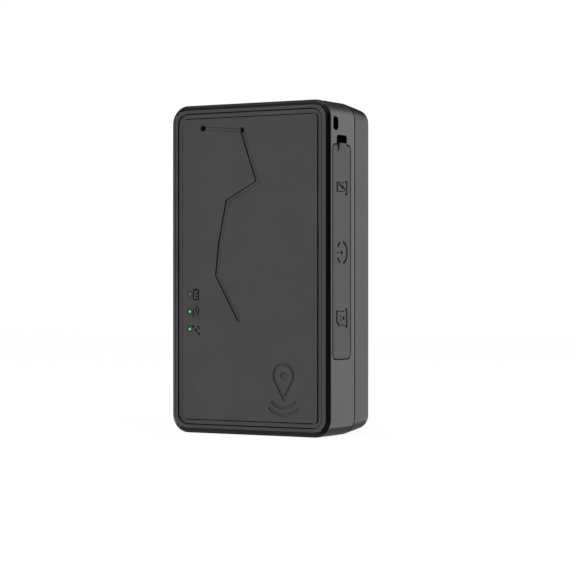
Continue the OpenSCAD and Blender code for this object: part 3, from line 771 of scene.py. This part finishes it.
def lampSymbols():
    width, depth = frontHousing["symbolWidth"], frontHousing["symbolDepth"]
    u = frontHousing["symbolX"]
    top, middle, bottom = frontHousing["symbolHeights"]
    # battery
    marks = path([(u - 1.0, top - 1.8), (u + 1.0, top - 1.8), (u + 1.0, top + 1.3),
                  (u - 1.0, top + 1.3), (u - 1.0, top - 1.8)], width, depth)
    marks.append(bar((u - 0.3, top + 1.7), (u + 0.3, top + 1.7), width, depth))
    for rise in (-0.85, 0.25):
        marks.append(bar((u - 0.1, top + rise), (u + 0.9, top + rise), width, depth))
    # signal
    marks.append(bar((u - 1.1, middle - 1.9), (u - 1.1, middle), width, depth))
    marks.append(dot((u - 1.1, middle + 0.1), 0.34, depth))
    for radius in (1.15, 2.1):
        marks.append(arc((u - 1.1, middle + 0.1), radius, -48, 55, width, depth))
    # satellite
    marks.append(bar((u - 0.1, bottom + 0.1), (u + 0.1, bottom - 0.1), 0.75, depth))
    marks.append(bar((u - 1.05, bottom + 1.05), (u - 1.25, bottom + 1.25), 0.7, depth))
    marks.append(bar((u + 1.05, bottom - 1.05), (u + 1.25, bottom - 1.25), 0.7, depth))
    marks.append(arc((u, bottom), 1.45, 15, 75, width, depth))
    return marks


# A plain map pin over two ripples
def pinMotif():
    width, depth = frontHousing["motifWidth"], frontHousing["motifDepth"]
    u, v = frontHousing["motifPlace"]
    head, drop = 3.7, 7.6
    angle = math.asin(head / drop)
    lean = math.degrees(angle)
    marks = [arc((u, v), head, -lean, 180 + lean, width, depth)]
    for side in (-1, 1):
        edge = (u + side * head * math.cos(angle), v - head * math.sin(angle))
        marks.append(bar(edge, (u, v - drop), width, depth))
    marks.append(dot((u, v), 1.25, depth))
    marks.append(arc((u, v - drop + 3.4), 6.2, 222, 318, width, depth))
    marks.append(arc((u, v - drop + 3.4), 8.4, 228, 312, width, depth))
    return marks


front = copyOf("front_shell", "front_housing")


def onFront(m):
    return near(m.y, case["front"])


def onPanel(m):
    return onFront(m) and within(m, frontHousing["panel"])


def inOpening(m):
    return between(m.y, case["openings"])


# The rim's outer edge is rounded more on the left
def outlineShare(m):
    toward = min(max((-m.x - case["straight"][0]) / frontHousing["outlineTurn"], 0), 1)
    return frontHousing["outlineRest"] + (1 - frontHousing["outlineRest"]) * toward


# The recess is rounded widely towards the front, less towards the back
def recessShare(m):
    first, last = frontHousing["recessTurn"]
    toward = min(max((last - m.y) / (last - first), 0), 1)
    return frontHousing["recessFar"] + (1 - frontHousing["recessFar"]) * toward


# Grooves: the walls that face the flap's side stay crisp, the others are rounder
def turnedRight(edge):
    walls = [face.normal.x for face in edge.link_faces if abs(face.normal.y) < 0.5]
    return max(walls, default=0) > 0.3


rimMoves = (
    (lambda p: p.x > 0, (frontHousing["rimRight"], 0, 0)),
    (lambda p: p.x < 0, (frontHousing["rimLeft"], 0, 0)),
    (lambda p: p.z > case["middle"], (0, 0, frontHousing["rimTop"])),
    (lambda p: p.z < case["middle"], (0, 0, frontHousing["rimBottom"])),
)
for onThisHalf, shift in rimMoves:
    movePoints(front, lambda p: p.y < frontHousing["grooves"]
               and between(outline(p), frontHousing["rimLoop"]) and onThisHalf(p), shift)
roundByShare(front, frontHousing["outlineRound"],
             lambda m, bend, e: onFront(m) and between(bend, sloped) and not onPanel(m),
             outlineShare, 4)
roundEdges(front, frontHousing["litWallRound"],
           lambda m, bend, e: onFront(m) and bend > upright and turnedRight(e), clamp=False)
roundEdges(front, frontHousing["fineRound"],
           lambda m, bend, e: onPanel(m) and bend > upright and not turnedRight(e), clamp=False)
roundEdges(front, frontHousing["channelRound"],
           lambda m, bend, e: onFront(m) and bend > upright and not onPanel(m)
           and not turnedRight(e), clamp=False)
roundEdges(front, frontHousing["chamferRound"],
           lambda m, bend, e: near(m.y, case["chamferEnd"]) and between(bend, sloped), 3)
roundEdges(front, frontHousing["openingRound"],
           lambda m, bend, e: near(m.x, case["side"]) and bend > square and inOpening(m)
           and m.z > case["recessTop"])
roundByShare(front, frontHousing["recessRound"],
             lambda m, bend, e: near(m.x, case["side"]) and bend > square and inOpening(m)
             and m.z < case["recessTop"], recessShare, 3)
roundEdges(front, frontHousing["seamRound"],
           lambda m, bend, e: near(m.y, case["frontSeam"]) and bend > square and outline(m) > -0.1,
           clamp=False)
roundEdges(front, frontHousing["openingRound"],
           lambda m, bend, e: near(m.z, case["top"]) and bend > square and inOpening(m))
# Two points of the roundings come out a hair in front of the face
movePoints(front, lambda p: p.y < case["front"] - 0.005, (0, 0.01, 0))
combine(front, standOn(lampSymbols() + pinMotif(), *frontFace))
wear(front, "panel", "edge", "side", "rim", "gap", "paintedShade", "slope")

# Where the front shell's finishes, its painted shade and its painted light change; a tilt says how far a
# face looks forward, 1 is fully
zones = {
    "rim": (27.2, 51.2),
    "rimEdge": (28, 52),
    "rimTilt": 0.9965,  # the rim's outer rounding is tilted more than this
    "rimTurn": 0.06,
    "channel": (27.6, 51.6),
    "channelFloor": (-14.55, -14.35),
    "wallDepth": -14.42,
    "wallTilt": 0.96,
    "roundingDepth": -14.6,
    "roundingBand": -1.8,
    "chamferDepth": (-14.95, -13.8),
    "bevelDepth": (-14.99, -13.8),
    "chamferTilt": (0.5, 0.75),
    "bevelTilt": (0.5, 0.87),
    "roundingTilt": (0.5, 0.97),
    "innerTilt": (0.94, 0.97),
    "turn": 0.2,  # sideways part of the direction of a face that looks right or left
    "level": 0.3,  # upward part of one that looks neither up nor down
    "chamferTop": 0.4,
    "chamferBottom": -0.5,
    "sideDepth": -13.9,
    "sideWall": -0.3,
    "underside": (("slope", -0.47), ("paintedShade", -0.57)),
    "seamDepth": 1.81,
    "notch": 93.75,
    "lamps": (1.6, 32, 48),
    "lampSymbols": ((-21.45, -14.999, 32), (-17.5, -14.6, 48.5)),
    "lanyardSide": ((26.2, -12.5, 97.9), (29.995, -8.8, 103)),
    "lanyardTop": ((22, -12.4, 98), (27, -8.9, 107.9)),
    "flapWalls": ((28.32, -13.1, 24), (29.8, 0, 93.75)),
    "notchWalls": ((28.32, -13.1, 93.75), (29.88, 0, 97.2)),
    "notchFloor": ((28.25, -10, 93.85), (28.35, -3, 97)),
}


def tilted(n, name):
    return between(-n.y, zones[name])


def onRounding(m):
    return m.y < zones["roundingDepth"] and outline(m) > zones["roundingBand"]


def onChamfer(m, n):
    return between(m.y, zones["chamferDepth"]) and tilted(n, "chamferTilt")


def onSide(m):
    return m.y > zones["sideDepth"] and outline(m) > zones["sideWall"]


def nearLamp(m):
    reach, low, high = zones["lamps"]
    return abs(m.x - lamps["across"]) < reach and low < m.z < high


paint(front, "rim", lambda m, n: m.y < frontHousing["grooves"] and not within(m, zones["rim"]))
# Painted shade on the rim's outer rounding, except where it turns right
paint(front, "paintedShade", lambda m, n: m.y < frontHousing["grooves"] and not within(m, zones["rimEdge"])
      and -n.y < zones["rimTilt"]
      and (n.x < -zones["rimTurn"] or abs(n.z) > zones["rimTurn"]))
# Painted shade: the chamfers and the steep part of the outer rounding go near black
paint(front, "edge", lambda m, n: between(m.y, zones["bevelDepth"]) and tilted(n, "bevelTilt"))
# Painted shade on the rim's outer rounding where it turns right: near black, less dark on its inner part
for finish, tilt in (("edge", "roundingTilt"), ("slope", "innerTilt")):
    paint(front, finish, lambda m, n: onRounding(m) and tilted(n, tilt) and n.x > zones["turn"])
# Painted shade on the top chamfer, darker on the bottom one
paint(front, "slope", lambda m, n: onChamfer(m, n) and n.z > max(zones["chamferTop"], n.x))
paint(front, "paintedShade", lambda m, n: onChamfer(m, n) and n.z < zones["chamferBottom"]
      and n.x < zones["chamferTop"])
# Painted light: where the rim's outer rounding turns left it gets the lighter rim finish
paint(front, "rim", lambda m, n: m.y < zones["bevelDepth"][1] and outline(m) > zones["roundingBand"]
      and tilted(n, "roundingTilt") and n.x < -zones["turn"] and abs(n.z) < zones["level"])
# Painted shade, near black, on the walls of the channel and the star line, not round the lamps
paint(front, "edge", lambda m, n: m.y < zones["wallDepth"] and abs(n.y) < zones["wallTilt"]
      and within(m, zones["channel"]) and not nearLamp(m))
paint(front, "side", lambda m, n: m.y > zones["sideDepth"])
# Painted shade: the side is painted darker where it rolls under towards the bottom end; each finish starts
# where the upward part of a face's direction falls below its limit
for finish, limit in zones["underside"]:
    paint(front, finish, lambda m, n: onSide(m) and n.z < limit)
# Painted shade, near black, on the rounding along the seam
paint(front, "gap", lambda m, n: m.y > zones["seamDepth"])
# Painted shade: near black in the lanyard passage, darker on the walls round the flap, near black on those
# of its notch
paint(front, "gap", lambda m, n: inside(m, *zones["lanyardSide"])
      or inside(m, *zones["lanyardTop"]))
paint(front, "paintedShade", lambda m, n: inside(m, *zones["flapWalls"]) and abs(n.x) < 0.7)
paint(front, "gap", lambda m, n: inside(m, *zones["notchWalls"]) and abs(n.x) < 0.9)
# Floor of the channel and of the star line in the rim's tone, then painted shade in the symbols engraved
# beside the lamps
paint(front, "rim", lambda m, n: between(m.y, zones["channelFloor"]) and n.y < -0.9
      and not nearLamp(m))
paint(front, "paintedShade", lambda m, n: inside(m, *zones["lampSymbols"]))
# The recess floor is cut at the flap's upper end, and its part in the notch is painted near black as shade
chooseFaces(front, lambda m, n: near(m.x, case["recessFloor"]) and n.x > 0.9)
bpy.ops.mesh.bisect(plane_co=(0, 0, (zones["notch"] + 0.05) * mm), plane_no=(0, 0, 1))
paint(front, "gap", lambda m, n: inside(m, *zones["notchFloor"]))
smooth(front)
dress(front, "case", "case_front", "front_shell")

print("rear housing")
rearHousing = {
    "backRound": 0.2,
    "seamShift": -0.2,
    "seamRound": 0.1,
    "gapDepth": 2.54,
    "backDepth": 14.7,
    "underside": (("slope", -0.38), ("paintedShade", -0.5)),
}
rear = copyOf("rear_shell", "rear_housing")
roundEdges(rear, rearHousing["backRound"],
           lambda m, bend, e: near(m.y, case["back"]) and bend > square)
movePoints(rear, lambda p: near(p.y, case["rearSeam"]) and outline(p) > -0.1,
           (0, rearHousing["seamShift"], 0))
seam = case["rearSeam"] + rearHousing["seamShift"]
roundEdges(rear, rearHousing["seamRound"],
           lambda m, bend, e: near(m.y, seam) and bend > square, clamp=False)
wear(rear, "rear", "gap", "slope", "paintedShade")
# Painted shade where the rear rolls under towards the bottom end, and near black on the step at the seam
for finish, limit in rearHousing["underside"]:
    paint(rear, finish, lambda m, n: m.y < rearHousing["backDepth"] and n.z < limit)
paint(rear, "gap", lambda m, n: m.y < rearHousing["gapDepth"]
      and (n.y < -0.85 or outline(m) < zones["sideWall"]))
smooth(rear)
dress(rear, "case", "case_rear", "rear_shell")

# Flap with its strap, tab, plugs and symbols
print("port flap")
portFlap = {
    "low": 25.0,
    "high": 93.7,
    "near": -12.33,
    "far": -0.77,
    "thick": 1.4,
    "corner": 1.6,
    "edge": 0.5,
    "strap": (27.2, 27.6, 27.9, 28.2, 28.6),
    "strapThick": 0.55,
    "anchorDrop": 0.3,
    "symbolWidth": 0.62,
    "symbolDepth": 0.42,
    "tabHalf": 2.4,
    "tabEnds": (91.6, 94.3),
    "tabFaces": (28.6, 30.6),
    "tabRound": 0.22,
    "tabLean": 0.62,
    "tabFoot": 0.8,
    "tabSlot": (91.9, 94.6),
    "pegRadius": 0.8,
    "pegLong": 2.2,
    "pegPlace": (28.1, 3, 26.4),  # x, distance from the flap's middle line, height
    "shadeZone": ((29.5, -10.8, 34), (29.9, -2.6, 84)),
    "slotZone": ((29, -9.7, 91), (29.95, -8.6, 94)),
    "blend": (27.3, 28.5),
}
flap = block((case["side"] - portFlap["thick"], portFlap["near"], portFlap["low"]),
             (case["side"], portFlap["far"], portFlap["high"]), "port_flap_cover")
roundEdges(flap, portFlap["corner"], lambda m, bend, e: runsAcross(e), 7)
for height in portFlap["strap"]:
    pick(flap)
    bpy.ops.object.mode_set(mode="EDIT")
    bpy.ops.mesh.select_all(action="SELECT")
    bpy.ops.mesh.bisect(plane_co=(0, 0, height * mm), plane_no=(0, 0, 1))
    objectMode()
inner = case["side"] - portFlap["thick"] + 0.01
strapLow, strapHigh = portFlap["strap"][0] + 0.1, portFlap["strap"][-1] - 0.1
movePoints(flap, lambda p: p.x < inner and strapLow < p.z < strapHigh,
           (portFlap["thick"] - portFlap["strapThick"], 0, 0))
movePoints(flap, lambda p: p.x < inner and p.z < strapLow, (-portFlap["anchorDrop"], 0, 0))
roundEdges(flap, portFlap["edge"], lambda m, bend, e: near(m.x, case["side"]) and bend > square, 3)


def flapSymbols():
    width, depth = portFlap["symbolWidth"], portFlap["symbolDepth"]
    thin = width * 0.45
    # charging
    marks = [bar((5.3, 81.5), (5.3, 78.9), width * 1.5, depth)]
    marks += [bar((5.4, v), (10.0, v), thin, depth) for v in (81.6, 78.7)]
    marks += path([(11.0, 82.0), (11.7, 81.7), (11.7, 78.2), (11.0, 77.9)], width * 1.4, depth)
    marks += path([(6.7, 81.0), (8.6, 79.9), (8.5, 80.6), (10.5, 79.3)], width * 1.1, depth)
    # power
    marks.append(arc((8.45, 59.15), 3.4, -78, 78, width * 1.45, depth))
    marks += [arc((8.45, 59.15), 3.4, start, start + 38, width * 1.4, depth)
              for start in (112, 210)]
    marks.append(dot((8.2, 59.15), 0.72, depth))
    marks.append(bar((4.6, 59.15), (7.9, 59.15), thin, depth))
    # card
    marks += path([(5.0, 40.3), (5.0, 37.2), (6.3, 35.9)], width * 1.5, depth)
    marks += [bar((start, v), (10.0, v), thin, depth) for start, v in ((5.2, 40.3), (6.6, 35.9))]
    marks += path([(11.0, 41.0), (11.7, 40.7), (11.7, 35.6), (11.0, 35.3)], width * 1.4, depth)
    marks += [dot(place, 0.34, depth) for place in ((7.5, 38.8), (7.5, 37.5))]
    marks.append(dot((9.6, 38.1), 0.62, depth))
    return marks


tabLow, tabHigh = portFlap["tabEnds"]
tab = block((portFlap["tabFaces"][0], case["flapMiddle"] - portFlap["tabHalf"], tabLow),
            (portFlap["tabFaces"][1], case["flapMiddle"] + portFlap["tabHalf"], tabHigh),
            "pull_tab")
movePoints(tab, lambda p: p.x > case["side"] and p.z < tabHigh - 1, (-portFlap["tabLean"], 0, 0))
movePoints(tab, lambda p: p.x < case["side"] and p.z > tabLow + 1, (portFlap["tabFoot"], 0, 0))
roundEdges(tab, portFlap["tabRound"], lambda m, bend, e: m.x > 29 and bend > 20)
combine(flap, tab, "UNION")
tabSlot = bar(*[(5.85, end) for end in portFlap["tabSlot"]], 0.8, 0.9)
combine(flap, standOn([tabSlot], *flapFace))
combine(flap, standOn(flapSymbols(), *flapFace))

# Plugs on the flap's inner face: middle height and depth, length, width and ends along x
plugs = {
    "socket": {"height": 80.2, "depth": -6.55, "long": 7.94, "wide": 2.26, "ends": (25.9, 29.2)},
    "bore": {"height": 80.2, "depth": -6.55, "long": 7.09, "wide": 1.10, "ends": (25.0, 28.4)},
    "card": {"height": 38.3, "depth": -7.295, "long": 9.0, "wide": 0.92, "ends": (27.3, 29.2)},
}


def plug(name, height, depth, long, wide, ends):
    piece = block((ends[0], depth - wide / 2, height - long / 2),
                  (ends[1], depth + wide / 2, height + long / 2), name)
    roundEdges(piece, wide / 2 * 0.98, lambda m, bend, e: runsAcross(e), 6)
    return piece


def roundTip(piece, tip, width):
    roundEdges(piece, width, lambda m, bend, e: m.x < tip + 0.1 and bend > square)


usbPlug = plug("usb_plug", **plugs["socket"])
roundTip(usbPlug, plugs["socket"]["ends"][0], 0.18)
combine(usbPlug, plug("plug_bore", **plugs["bore"]))
cardPlug = plug("card_plug", **plugs["card"])
roundTip(cardPlug, plugs["card"]["ends"][0], 0.15)
pegs = []
pegX, pegApart, pegZ = portFlap["pegPlace"]
for side in (-1, 1):
    bpy.ops.mesh.primitive_cylinder_add(
        vertices=32, radius=portFlap["pegRadius"] * mm, depth=portFlap["pegLong"] * mm,
        location=(pegX * mm, (case["flapMiddle"] + side * pegApart) * mm, pegZ * mm),
        rotation=degrees(0, 90, 0),
    )
    peg = bpy.context.object
    applyPlace(peg)
    roundTip(peg, pegX - portFlap["pegLong"] / 2, 0.2)
    pegs.append(peg)
flap = joinAll([flap, usbPlug, cardPlug] + pegs, "port_flap_cover")
wear(flap, "flap", "flapShade")
# Painted shade in the engraved symbols and on the walls of the tab's slot
paint(flap, "flapShade", lambda m, n: inside(m, *portFlap["shadeZone"])
      or (inside(m, *portFlap["slotZone"]) and abs(n.x) < 0.9))
smooth(flap)
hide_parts("port_flap", "flap_anchor")
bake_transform(flap, "case", "flap", (0.0293, -0.00655, portFlap["blend"][0] * mm),
         (0.0293, -0.00655, portFlap["blend"][1] * mm))

print("screws")
caseScrew = {
    "places": (23.5, 47.5),
    "headFace": 7.9,
    "headRound": 0.35,
    "recess": 2.3,
    "slot": 0.55,
    "sink": 1.0,
}
screws = copyOf("case_screws", "case_screw_set")
roundEdges(screws, caseScrew["headRound"],
           lambda m, bend, e: near(m.y, caseScrew["headFace"]) and bend > square, 3)
for sideX in (-1, 1):
    for sideZ in (-1, 1):
        crossRecess(screws, caseScrew, sideX * caseScrew["places"][0],
                    case["middle"] + sideZ * caseScrew["places"][1], 20 * sideX)
wear(screws, "blackScrew")
smooth(screws)
dress(screws, "case", "screw_black", "case_screws")

# Edges of the parts inside, softened as pressing, moulding or grinding leaves them
print("small parts")
softened = {  # rounding in mm, its segments and the slot
    "magnets": (0.3, 3, "nickel"),
    "power_button": (0.22, 3, "button"),
    "power_switch_plunger": (0.08, 2, "black_plastic"),
    "power_switch": (0.1, 2, "steel"),
    "usb_connector": (0.09, 2, "steel"),
    "usb_tongue": (0.07, 2, "black_plastic"),
    "sim_socket_cover": (0.05, 2, "steel"),
    "sim_socket_base": (0.05, 1, "black_plastic"),
    "modem_module": (0.1, 2, "shielding"),
    "shield_can": (0.08, 2, "shielding"),
    "board_chips": (0.06, 1, "chips"),
    "status_leds": (0.08, 2, "led_bodies"),
    "gnss_patch_antenna": (0.15, 2, "ceramic"),
    "lte_antenna": (0.12, 2, "antenna_ceramic"),
    "microphone": (0.1, 2, "microphone_can"),
    "battery_cell_front": (1.3, 4, "cell_foil"),
    "battery_cell_rear": (1.3, 4, "cell_foil"),
    "battery_connector": (0.12, 2, "connector_body"),
    "battery_foam": (0.3, 2, "foam"),
    "main_board": (0.06, 1, "circuit_board"),
    "battery_protection_board": (0.06, 1, "circuit_board"),
}
pressed = ("power_button", "power_switch_plunger")  # these ride the button
for node, (width, segments, slotName) in softened.items():
    part = copyOf(node, node + "_part")
    count = roundEdges(part, width, lambda m, bend, e: bend > 40, segments)
    print(node, count, "edges,", len(part.data.polygons), "faces")
    wear(part, nodeFinish[node])
    smooth(part)
    dress(part, "button" if node in pressed else "case", slotName, node)

print("lamps")
for node, slotName, dome in (("power_led_lens", "lens_off", "flat"),
                             ("network_led_lens", "lens_lit", "dome"),
                             ("gps_led_lens", "lens_lit", "dome")):
    lens = copyOf(node, node + "_dome")
    lensFace = min(point.co.y for point in lens.data.vertices) / mm
    roundEdges(lens, lamps[dome], lambda m, bend, e: m.y < lensFace + 0.02 and bend > square, 5)
    wear(lens, nodeFinish[node])
    smooth(lens, 40)
    dress(lens, "case", slotName, node)

print("board screws")
boardScrew = {"headFace": -7.18, "headReach": 4, "recess": 1.3, "slot": 0.32, "sink": 0.5}
boardScrews = copyOf("board_screws", "board_screw_set")
heads = []  # the points of each screw's head, as x and z
for point in boardScrews.data.vertices:
    if abs(point.co.y / mm - boardScrew["headFace"]) < 0.02:
        place = (point.co.x / mm, point.co.z / mm)
        for head in heads:
            if math.dist(head[0], place) < boardScrew["headReach"]:
                head.append(place)
                break
        else:
            heads.append([place])
for index, head in enumerate(heads):
    x, z = [(min(values) + max(values)) / 2 for values in zip(*head)]
    crossRecess(boardScrews, boardScrew, x, z, 25 * index)
wear(boardScrews, "zinc")
smooth(boardScrews)
dress(boardScrews, "case", "screw_steel", "board_screws")

# Gold contacts on both sides of the socket's tongue
contact = {
    "count": 12,
    "pitch": 0.5,
    "wide": 0.25,
    "near": 23.2,
    "far": 26.9,
    "proud": 0.02,
    "edge": 0.015,
    "height": 80.2,
    "half": 0.35,
}
first = block((contact["near"], -contact["proud"], -contact["wide"] / 2),
              (contact["far"], contact["proud"], contact["wide"] / 2), "usb_contact")
roundEdges(first, contact["edge"], lambda m, bend, e: True, 1)
strips = []
for side in (-1, 1):
    for place in range(contact["count"]):
        strip = first.copy()
        strip.data = first.data.copy()
        bpy.context.collection.objects.link(strip)
        fromMiddle = place - (contact["count"] - 1) / 2
        strip.location = (0, (case["flapMiddle"] + side * contact["half"]) * mm,
                          (contact["height"] + fromMiddle * contact["pitch"]) * mm)
        applyPlace(strip)
        strips.append(strip)
bpy.data.objects.remove(first)
contacts = joinAll(strips, "usb_contacts")
wear(contacts, "gold")
smooth(contacts)
dress(contacts, "case", "microphone_can")

print("studio")
studio = {
    "floor": 2.4,
    "floorColour": (0.90, 0.90, 0.90),
    "floorWhite": 0.93,
    "level": 0.95,
    "darkRight": (60, 26, 13),  # turn from the front, half width and soft edge of a dark patch
    "darkBack": (236, 72, 17),
    "darkTop": (0.36, 0.5),
    "zenith": (0.76, 0.85),
    "zenithLift": 0.6,
    "darkness": 0.97,
    "least": 0.03,
    "strip": (138, 38, 14),
    "stripGain": 0.35,
}
bpy.ops.mesh.primitive_plane_add(size=studio["floor"], location=(0, 0, 0))
floor = bpy.context.object
floor.name = "floor"
bpy.ops.object.mode_set(mode="EDIT")
bpy.ops.mesh.subdivide(number_cuts=3)
objectMode()


def whiteFloor():
    finish = Finish("floorPaper")
    tooth = finish.speckle(30.0)
    paper = finish.node("ShaderNodeBsdfDiffuse", None, {
        "Color": finish.blend(tooth, studio["floorColour"], shade(studio["floorColour"], 0.995)),
    })
    glow = finish.node("ShaderNodeEmission", None, {"Color": (1, 1, 1), "Strength": 1.0})
    seen, glossy, through = [finish.ray(kind) for kind in ("Camera", "Glossy", "Transmission")]
    mix = finish.node("ShaderNodeMixShader", None, {
        0: (seen + glossy + through).clamped() * studio["floorWhite"], 1: paper, 2: glow,
    })
    return finish.end(mix)


floor.data.materials.append(whiteFloor())


# White to the camera and a plain level for matt surfaces; glossy ones mirror a tent with two
# dark patches, a dim top and a brighter strip
def studioWorld():
    world = bpy.data.worlds.new("studio")
    bpy.context.scene.world = world
    finish = Finish("studio", world)
    view = finish.node("ShaderNodeTexCoord", output="Generated")
    x, y, z = [finish.node("ShaderNodeSeparateXYZ", None, {0: view}, output=axis)
               for axis in range(3)]

    def patch(turn, half, soft):
        turn, outer, inner = degrees(turn, half, half - soft)
        toward = x * math.sin(turn) - y * math.cos(turn)
        return toward.rampUp(math.cos(outer), math.cos(inner))

    dark = patch(*studio["darkRight"]).highest(patch(*studio["darkBack"]))
    lift = 1 - studio["zenithLift"] * z.rampUp(*studio["zenith"])
    dark = dark.highest(z.rampUp(*studio["darkTop"])) * lift
    tent = 1 + studio["stripGain"] * patch(*studio["strip"]) - studio["darkness"] * dark
    seen, through, glossy = [finish.ray(kind) for kind in ("Camera", "Transmission", "Glossy")]
    strength = seen.highest(through) + glossy * tent.highest(studio["least"])
    plain = 1 - seen.highest(through).highest(glossy)
    back = finish.node("ShaderNodeBackground", None, {
        "Color": (1, 1, 1), "Strength": strength + plain * studio["level"],
    })
    finish.end(back, "ShaderNodeOutputWorld")


studioWorld()

overhead = {"place": (0.42, -0.50, 0.80), "aim": (0, 0, 0.05), "size": 0.7, "power": 4.5}
bpy.ops.object.light_add(type="AREA", location=overhead["place"])
softbox = bpy.context.object
softbox.name = "overheadBox"
softbox.data.shape = "RECTANGLE"
softbox.data.size = overhead["size"]
softbox.data.size_y = overhead["size"]
softbox.data.energy = overhead["power"]
toward = [b - a for a, b in zip(overhead["place"], overhead["aim"])]
flat = math.hypot(toward[0], toward[1])
softbox.rotation_euler = (math.atan2(flat, -toward[2]), 0, math.atan2(-toward[0], toward[1]))

bpy.context.scene.view_settings.view_transform = "Standard"
